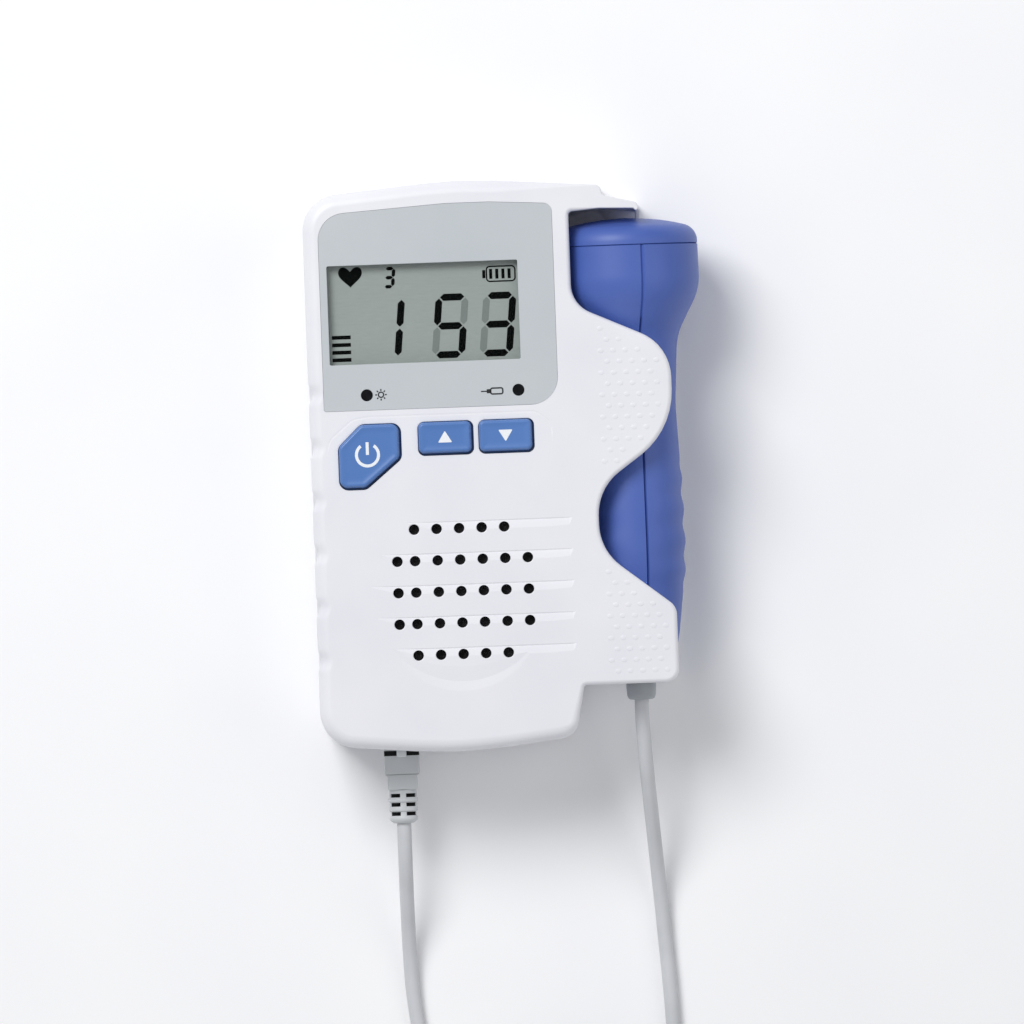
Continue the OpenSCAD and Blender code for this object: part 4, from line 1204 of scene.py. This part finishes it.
class DOPPLER_OT_buttons(Operator):
    """Make the power button and the two arrow buttons, with their marks"""

    bl_idname = "doppler.buttons"
    bl_label = "Buttons"

    def execute(self, context):
        blue = button_abs(looks())
        white = printed_ink("white_pad_print", "#F2F5F8", "#E8ECF2", 0.5)
        for node in ("power_button", "up_button", "down_button"):
            low, high = limits(node)
            flange_z = FACE_Z - 2.55
            source = bmesh.new()
            source.from_mesh(frame["nodes"][node].data)
            bmesh.ops.remove_doubles(source, verts=source.verts, dist=0.002 * MM)
            flange = face_rings(source, flange_z)[0]
            source.free()
            corners = POWER_CORNERS
            if node != "power_button":
                corners = [
                    [low.x + 0.65, high.y - 0.65, 1.5], [high.x - 0.65, high.y - 0.65, 1.5],
                    [high.x - 0.65, low.y + 0.65, 1.5], [low.x + 0.65, low.y + 0.65, 1.5],
                ]
            bm = bmesh.new()
            loft(bm, cap_rings(corners, high.z, low.z + 0.02))
            loft(bm, [at_height(flange, low.z), at_height(flange, flange_z)])
            placed(finished(bm, node + "_cap", blue, 60), node, node)
            marks = bmesh.new()
            top = high.z - 0.21        # the marks lie on the dip of the cap
            if node == "power_button":
                self.power_mark(marks, -34.33, 3.55, top)
            else:
                middle = (low + high) / 2
                self.arrow_mark(marks, middle.x - 0.1, middle.y + 0.15, top, 1 if node == "up_button" else -1)
            placed(finished(marks, node + "_mark", white, 30), node)
        return {"FINISHED"}

    def power_mark(self, bm, x, y, z):
        """The usual power sign: an open ring with a bar."""
        radius, stroke, open_angle = 2.7, 0.74, 36
        angles = [90 + open_angle + (360 - 2 * open_angle) * k / 28 for k in range(29)]
        outline = []
        for r, order in [(radius + stroke / 2, angles), (radius - stroke / 2, angles[::-1])]:
            for a in order:
                outline.append(Vector((x + r * math.cos(math.radians(a)), y + r * math.sin(math.radians(a)))))
        loft(bm, [at_height(outline, z), at_height(outline, z + 0.04)])
        plates(bm, [box_outline(x - stroke / 2, y, x + stroke / 2, y + 3.1)], z, 0.04)

    def arrow_mark(self, bm, x, y, z, way):
        """A filled triangle that points up, or down if the way is -1."""
        corners = [(0, 1.55), (1.75, -1.3), (-1.75, -1.3)]
        outline = rounded([[x + way * across, y + way * up, 0.15] for across, up in corners], 40)
        plates(bm, [outline], z, 0.04)


# --- Probe ---------------------------------------------------------------------------------------

PROBE_LOW, PROBE_HIGH = limits("probe_left_shell")
RELIEF_LOW, RELIEF_HIGH = limits("probe_strain_relief")
PROBE_X, PROBE_Z = 30.4, 20.75
FACE_Y, CAP_SEAM_Y, PROBE_END_Y = limits("probe_cap")[1].y, PROBE_HIGH.y, PROBE_LOW.y
SEAM_TURN = 13.3           # the shells' seam lies this far from the top towards the right, in degrees
# Outline of the probe, from the face to the cord's end: [radius, place along it, rounding]
PROBE_CORNERS = [
    [9.5, FACE_Y - 0.6, 48], [17.6, FACE_Y - 2.8, 4.2], [17.85, 41.5, 14], [11.87, 30.2, 16], [10.9, 13, 40],
    [11.85, -8, 60], [12.1, -25, 60], [9.9, -42.5, 30], [8.2, PROBE_END_Y, 4],
]
RIPPLE_Y, RIPPLE_PITCH = -4.7, 7.6
RELIEF_BORE_R = 3.72       # radius of the shells' opening round the strain relief


def probe_profile():
    """Points (radius, place) of the probe's skin, from the middle of its face to its lower end."""
    far = 60
    corners = [[-far, FACE_Y + far * 0.6 / 9.5, 0]] + PROBE_CORNERS + [[-far, PROBE_END_Y, 0]]
    points = [p for p in rounded(corners, 2.5) if p.x > 0]
    full = [Vector((0, FACE_Y))]
    for a, b in zip(points, points[1:]):
        steps = max(1, math.ceil((b - a).length / 1.2))
        full += [a.lerp(b, k / steps) for k in range(steps)]
    return full + [points[-1], Vector((0, PROBE_END_Y))]


def cut_profile(points, y_low, y_high):
    """The stretch of a profile between two places along the probe."""
    kept = []
    for p, q in zip(points, points[1:]):
        if y_low <= p.y <= y_high:
            kept.append(p.copy())
        for y in (y_high, y_low):
            if (p.y - y) * (q.y - y) < 0:
                kept.append(p.lerp(q, (p.y - y) / (p.y - q.y)))
    if y_low <= points[-1].y <= y_high:
        kept.append(points[-1].copy())
    return kept


def rippled(bm):
    """Raises the finger ripples on both sides of the handle."""
    axis = Vector((PROBE_X, 0, PROBE_Z)) * MM
    height = sizes().ripple
    for v in bm.verts:
        out = Vector((v.co.x - axis.x, 0, v.co.z - axis.z))
        if out.length < 8 * MM:
            continue
        y = v.co.y / MM
        share = ease((y + 34) / 6) * ease((1.5 - y) / 6)
        wave = math.cos(math.tau * (y - RIPPLE_Y) / RIPPLE_PITCH)
        sideways = abs(out.normalized().x) ** 1.5
        v.co += out.normalized() * height * share * sideways * (wave - 0.4)


class DOPPLER_OT_probe(Operator):
    """Turn the probe's two shells, its cap and its strain relief"""

    bl_idname = "doppler.probe"
    bl_label = "Probe"

    def execute(self, context):
        blue = probe_abs(looks())
        skin = probe_profile()
        seam = in_mm(sizes().seam)
        wall = 1.8
        side = cut_profile(skin, PROBE_END_Y, CAP_SEAM_Y)
        side.insert(1, side[0].lerp(side[1], 0.18 / (side[1] - side[0]).length))
        side[0].x -= 1.4 * seam
        inner = [Vector((max(p.x - wall, RELIEF_BORE_R), min(p.y, CAP_SEAM_Y))) for p in side]
        inner = [p for p in inner if p.y > PROBE_END_Y + wall]
        body = [p for p in side if p.x > RELIEF_BORE_R] + [Vector((RELIEF_BORE_R, PROBE_END_Y))]
        loop = body + inner[::-1]
        for name, start in [("probe_right_half", SEAM_TURN), ("probe_left_half", SEAM_TURN + 180)]:
            bm = bmesh.new()
            self.half(bm, loop, math.radians(start), seam)
            rippled(bm)
            node = name.replace("half", "shell")
            placed(finished(bm, name, blue, 40), "probe", node)
        self.cap(skin, seam, blue)
        self.relief()
        return {"FINISHED"}

    def half(self, bm, loop, start, seam):
        """One closed half shell, its long seams cut to a deep groove."""
        steps = sizes().probe_sides
        gap = math.radians(1.7)
        axis = Vector((PROBE_X, 0, PROBE_Z))
        rings = []
        angles = [0.0, gap] + [math.pi * k / steps for k in range(1, steps)] + [math.pi - gap, math.pi]
        for angle in angles:
            edge = min(angle, math.pi - angle) < 1e-6
            ring = []
            for i, p in enumerate(loop):
                outer = i < len(loop) // 2
                radius = p.x - (2.6 * seam if edge and outer else 0)
                turn = start + angle
                ring.append(axis + Vector((radius * math.sin(turn), p.y, radius * math.cos(turn))))
            rings.append(ring)
        loft(bm, rings)

    def cap(self, skin, seam, blue):
        """The cap over the ultrasound crystals, with a fine chamfer at its seam."""
        top = cut_profile(skin, CAP_SEAM_Y, FACE_Y)
        top.insert(len(top) - 1, Vector((top[-1].x, CAP_SEAM_Y + 0.16)))
        top[-1].x -= 1.4 * seam
        top.append(Vector((0, CAP_SEAM_Y)))
        cap = turned(top, PROBE_X, PROBE_Z, 128)
        placed(finished(cap, "probe_face_cap", blue, 40), "probe", "probe_cap")

    def relief(self):
        """The strain relief: a cup with a rounded rim that the cord comes out of."""
        grey = grey_vinyl("moulded_grey_vinyl", "#A6ABAF", "#9DA2A6")
        high, low = RELIEF_HIGH.y, RELIEF_LOW.y
        profile = [
            [0, high], [3.65, high], [3.65, low + 3.2], [3.56, low + 1.6], [3.46, low + 0.95],
            [3.26, low + 0.45], [2.95, low + 0.14], [2.6, low + 0.02], [1.8, low], [0, low],
        ]
        relief = turned(profile, PROBE_X, PROBE_Z, 48)
        placed(finished(relief, "cord_relief", grey, 45), "probe", "probe_strain_relief")


# --- Plug, cells and the works -------------------------------------------------------------------


# A band of painted shade, in black, runs round the plug where it enters under the case's edge.
SHADE_BAND_FOOT_Y, SHADE_BAND_WIDTH = -70.25, 1.25     # the black band round the plug


class DOPPLER_OT_plug(Operator):
    """Make the plug with its latch and its slotted boot"""

    bl_idname = "doppler.plug"
    bl_label = "Plug"

    def execute(self, context):
        grey = grey_vinyl("moulded_plug_vinyl", "#CFD2D4", "#C6C9CC")
        clear = moulded_plastic(
            "clear_polycarbonate", linear("#E3E8EA"), linear("#DADFE2"), 0.2, 0.6, 0.004, 1.58
        )
        # Black vinyl that paints shade: the band where the plug enters the case, and the block seen through
        # the boot's slots.
        black = moulded_plastic("black_painted_shade_vinyl", linear("#121314"), linear("#1A1B1C"), 0.6, 0.4, 0.01, 1.3)
        for node, name, width, surface in [
            ("plug_body", "plug_block", 0.5, grey), ("plug_latch", "plug_catch", 0.25, clear),
        ]:
            piece = softened(node, name, width, 3)
            piece.data.materials.append(surface)
            if node == "plug_body":
                # The second slot paints the shade under the case's edge as a black band round the plug.
                piece.data.materials.append(black)
                self.shade_band(piece)
            placed(piece, "plug", node)
        self.sleeve(grey)
        # A black block paints the shade at the bottom of the boot's slots.
        self.core(black)
        return {"FINISHED"}

    def shade_band(self, piece):
        """Marks off a band of painted shade, in black, round the plug where it enters the case."""
        bm = bmesh.new()
        bm.from_mesh(piece.data)
        for y in (SHADE_BAND_FOOT_Y, SHADE_BAND_FOOT_Y + SHADE_BAND_WIDTH):
            bmesh.ops.bisect_plane(
                bm, geom=bm.verts[:] + bm.edges[:] + bm.faces[:], plane_co=Vector((0, y, 0)) * MM,
                plane_no=(0, 1, 0),
            )
        for face in bm.faces:
            face.material_index = int(0 < face.calc_center_median().y / MM - SHADE_BAND_FOOT_Y < SHADE_BAND_WIDTH)
        bm.to_mesh(piece.data)
        bm.free()

    def core(self, black):
        """A black block inside the boot that paints the shade at the bottom of its slots."""
        low, high = limits("plug_boot")
        x, z = (low.x + high.x) / 2, (low.z + high.z) / 2
        bm = bmesh.new()
        place = Matrix.Translation(Vector((x, high.y - 3.55, z)) * MM)
        size = Matrix.Diagonal((5.8 * MM, 5.6 * MM, 2.5 * MM, 1))
        bmesh.ops.create_cube(bm, size=1, matrix=place @ size)
        placed(finished(bm, "boot_slot_shade", black), "plug")

    def sleeve(self, grey):
        """The boot: ribs round the cord with slots between them, and a spine down its front and back."""
        low, high = limits("plug_boot")
        x, z = (low.x + high.x) / 2, (low.z + high.z) / 2
        reach = (high.x - low.x) / 2
        slots = [high.y - 1.3 - 2.25 * k for k in range(3)]
        profile = [(1.9, high.y), (reach - 0.35, high.y), (reach - 0.35, high.y - 0.4)]
        for k, y in enumerate(slots):
            out = reach - 0.12 * k
            profile += [(out - 0.3, y + 0.45), (out - 0.3, y - 0.45), (out - 0.05, y - 0.75), (out, y - 1.1),
                        (out - 0.05, y - 1.5)]
        end = slots[-1] - 1.5
        profile += [(reach - 0.7, end - 0.4), (reach - 1.1, low.y + 0.1), (reach - 1.4, low.y), (1.9, low.y)]
        sleeve = finished(turned([(0, high.y)] + profile + [(0, low.y)], x, z, 48), "plug_sleeve", grey, 50)
        sleeve.modifiers.clear()
        cutters = bmesh.new()
        for y in slots:
            for across in (-1, 1):
                for face in (-1, 1):
                    middle = Vector((x + across * 1.92, y, z + face * 3.1)) * MM
                    size = Matrix.Diagonal((2.4 * MM, 0.92 * MM, 3.8 * MM, 1))
                    bmesh.ops.create_cube(cutters, size=1, matrix=Matrix.Translation(middle) @ size)
        combined(sleeve, "DIFFERENCE", cutters)
        smooth(sleeve, 40)
        placed(sleeve, "plug", "plug_boot")


class DOPPLER_OT_works(Operator):
    """Finish the cells and the works inside the case and the probe"""

    bl_idname = "doppler.works"
    bl_label = "Cells and works"

    def execute(self, context):
        steel = plated_steel()
        black = moulded_plastic("black_nylon", linear("#17181A"), linear("#1F2022"), 0.45, 0.4, 0.01)
        ivory = moulded_plastic("ivory_abs", linear("#E2E0D8"), linear("#DAD8D0"), 0.45, 0.5, 0.01)
        rubber = moulded_plastic("silicone_rubber", linear("#1A1A1B"), linear("#222223"), 0.6, 0.5, 0.01)
        board = solder_mask()
        for surface, nodes in [
            (steel, ["board_screws", "case_screws", "battery_contacts", "speaker_basket", "speaker_magnet"]),
            (black, ["board_chips", "board_capacitors", "tact_switches", "power_plunger", "up_plunger",
                     "down_plunger", "speaker_cone", "plug_socket"]),
            (ivory, ["lcd_holder", "backlight_plate", "status_leds"]),
            (rubber, ["contact_strip", "probe_seal_ring"]),
            (board, ["main_board", "probe_board"]),
            (smoked_lens(), ["status_lights"]),
            (silvered_ceramic(), ["probe_crystals"]),
            (filled_epoxy(), ["probe_backing"]),
        ]:
            for node in nodes:
                dress(node, surface)
        wrap = cell_wrap()
        for node, up in [("battery_left", True), ("battery_right", False)]:
            self.cell(node, up, wrap, steel)
        self.cloth()
        return {"FINISHED"}

    def cloth(self):
        """The speaker's cloth, cut wide enough to lie below the whole of the outer sound holes."""
        low, high = limits("speaker_cloth")
        spare = Vector((0.02, 0.02, 0.02))
        low, high = low + spare, high - spare
        outline = []
        for p in round_outline((low.x + high.x) / 2, (low.y + high.y) / 2, 20.6, 96):
            outline.append(Vector((min(max(p.x, low.x), high.x), min(max(p.y, low.y), high.y))))
        bm = bmesh.new()
        plates(bm, [outline], low.z, high.z - low.z)
        placed(finished(bm, "speaker_screen", speaker_weave(), 30), "case", "speaker_cloth")

    def cell(self, node, up, wrap, steel):
        """A dry cell: a wrapped can with rounded shoulders, and a steel nipple at its plus end."""
        low, high = limits(node)
        radius = (high.x - low.x) / 2
        x, z = (low.x + high.x) / 2, (low.z + high.z) / 2
        start, end, way = (low.y, high.y, 1) if up else (high.y, low.y, -1)
        length = abs(end - start)
        can = length - 1.1
        body = [(0, 0.25), (radius - 1.6, 0.25), (radius - 1.1, 0.02), (radius - 0.35, 0.05), (radius, 0.5),
                (radius, can - 0.6), (radius - 0.4, can - 0.1), (radius - 1.3, can), (0, can)]
        nipple = [(0, can - 0.2), (2.6, can - 0.2), (2.6, length - 0.3), (2.3, length), (0, length)]
        for name, profile, surface in [("_wrap", body, wrap), ("_nipple", nipple, steel)]:
            bm = turned([(r, start + way * y) for r, y in profile], x, z, 64)
            piece = finished(bm, node + name, surface, 40)
            if name == "_wrap":
                placed(piece, "case", node)
            else:
                placed(piece, "case")


class DOPPLER_OT_finishes(Operator):
    """Make the finishes that several pieces share"""

    bl_idname = "doppler.finishes"
    bl_label = "Shared finishes"

    def execute(self, context):
        case_abs(looks())
        return {"FINISHED"}


STEPS = (
    DOPPLER_OT_stage, DOPPLER_OT_cord, DOPPLER_OT_finishes, DOPPLER_OT_front_shell, DOPPLER_OT_rear_shell,
    DOPPLER_OT_grip_dots, DOPPLER_OT_display, DOPPLER_OT_buttons, DOPPLER_OT_probe, DOPPLER_OT_plug,
    DOPPLER_OT_works,
)


class DOPPLER_PT_panel(Panel):
    """Lists the colours, sizes and pieces of the monitor"""

    bl_idname = "DOPPLER_PT_panel"
    bl_label = "Fetal Doppler Monitor"
    bl_space_type = "VIEW_3D"
    bl_region_type = "UI"
    bl_category = "Doppler"

    def draw(self, context):
        for group in (context.scene.doppler_looks, context.scene.doppler_sizes):
            for name in group.__annotations__:
                self.layout.prop(group, name)
        for step in STEPS:
            self.layout.operator(step.bl_idname)


CLASSES = (DopplerLooks, DopplerSizes, *STEPS, DOPPLER_PT_panel)


def register():
    for cls in CLASSES:
        bpy.utils.register_class(cls)
    bpy.types.Scene.doppler_looks = PointerProperty(type=DopplerLooks)
    bpy.types.Scene.doppler_sizes = PointerProperty(type=DopplerSizes)


def unregister():
    del bpy.types.Scene.doppler_looks
    del bpy.types.Scene.doppler_sizes
    for cls in reversed(CLASSES):
        bpy.utils.unregister_class(cls)


def main():
    register()
    for step in STEPS:
        family, name = step.bl_idname.split(".")
        getattr(getattr(bpy.ops, family), name)()


if __name__ == "__main__":
    main()
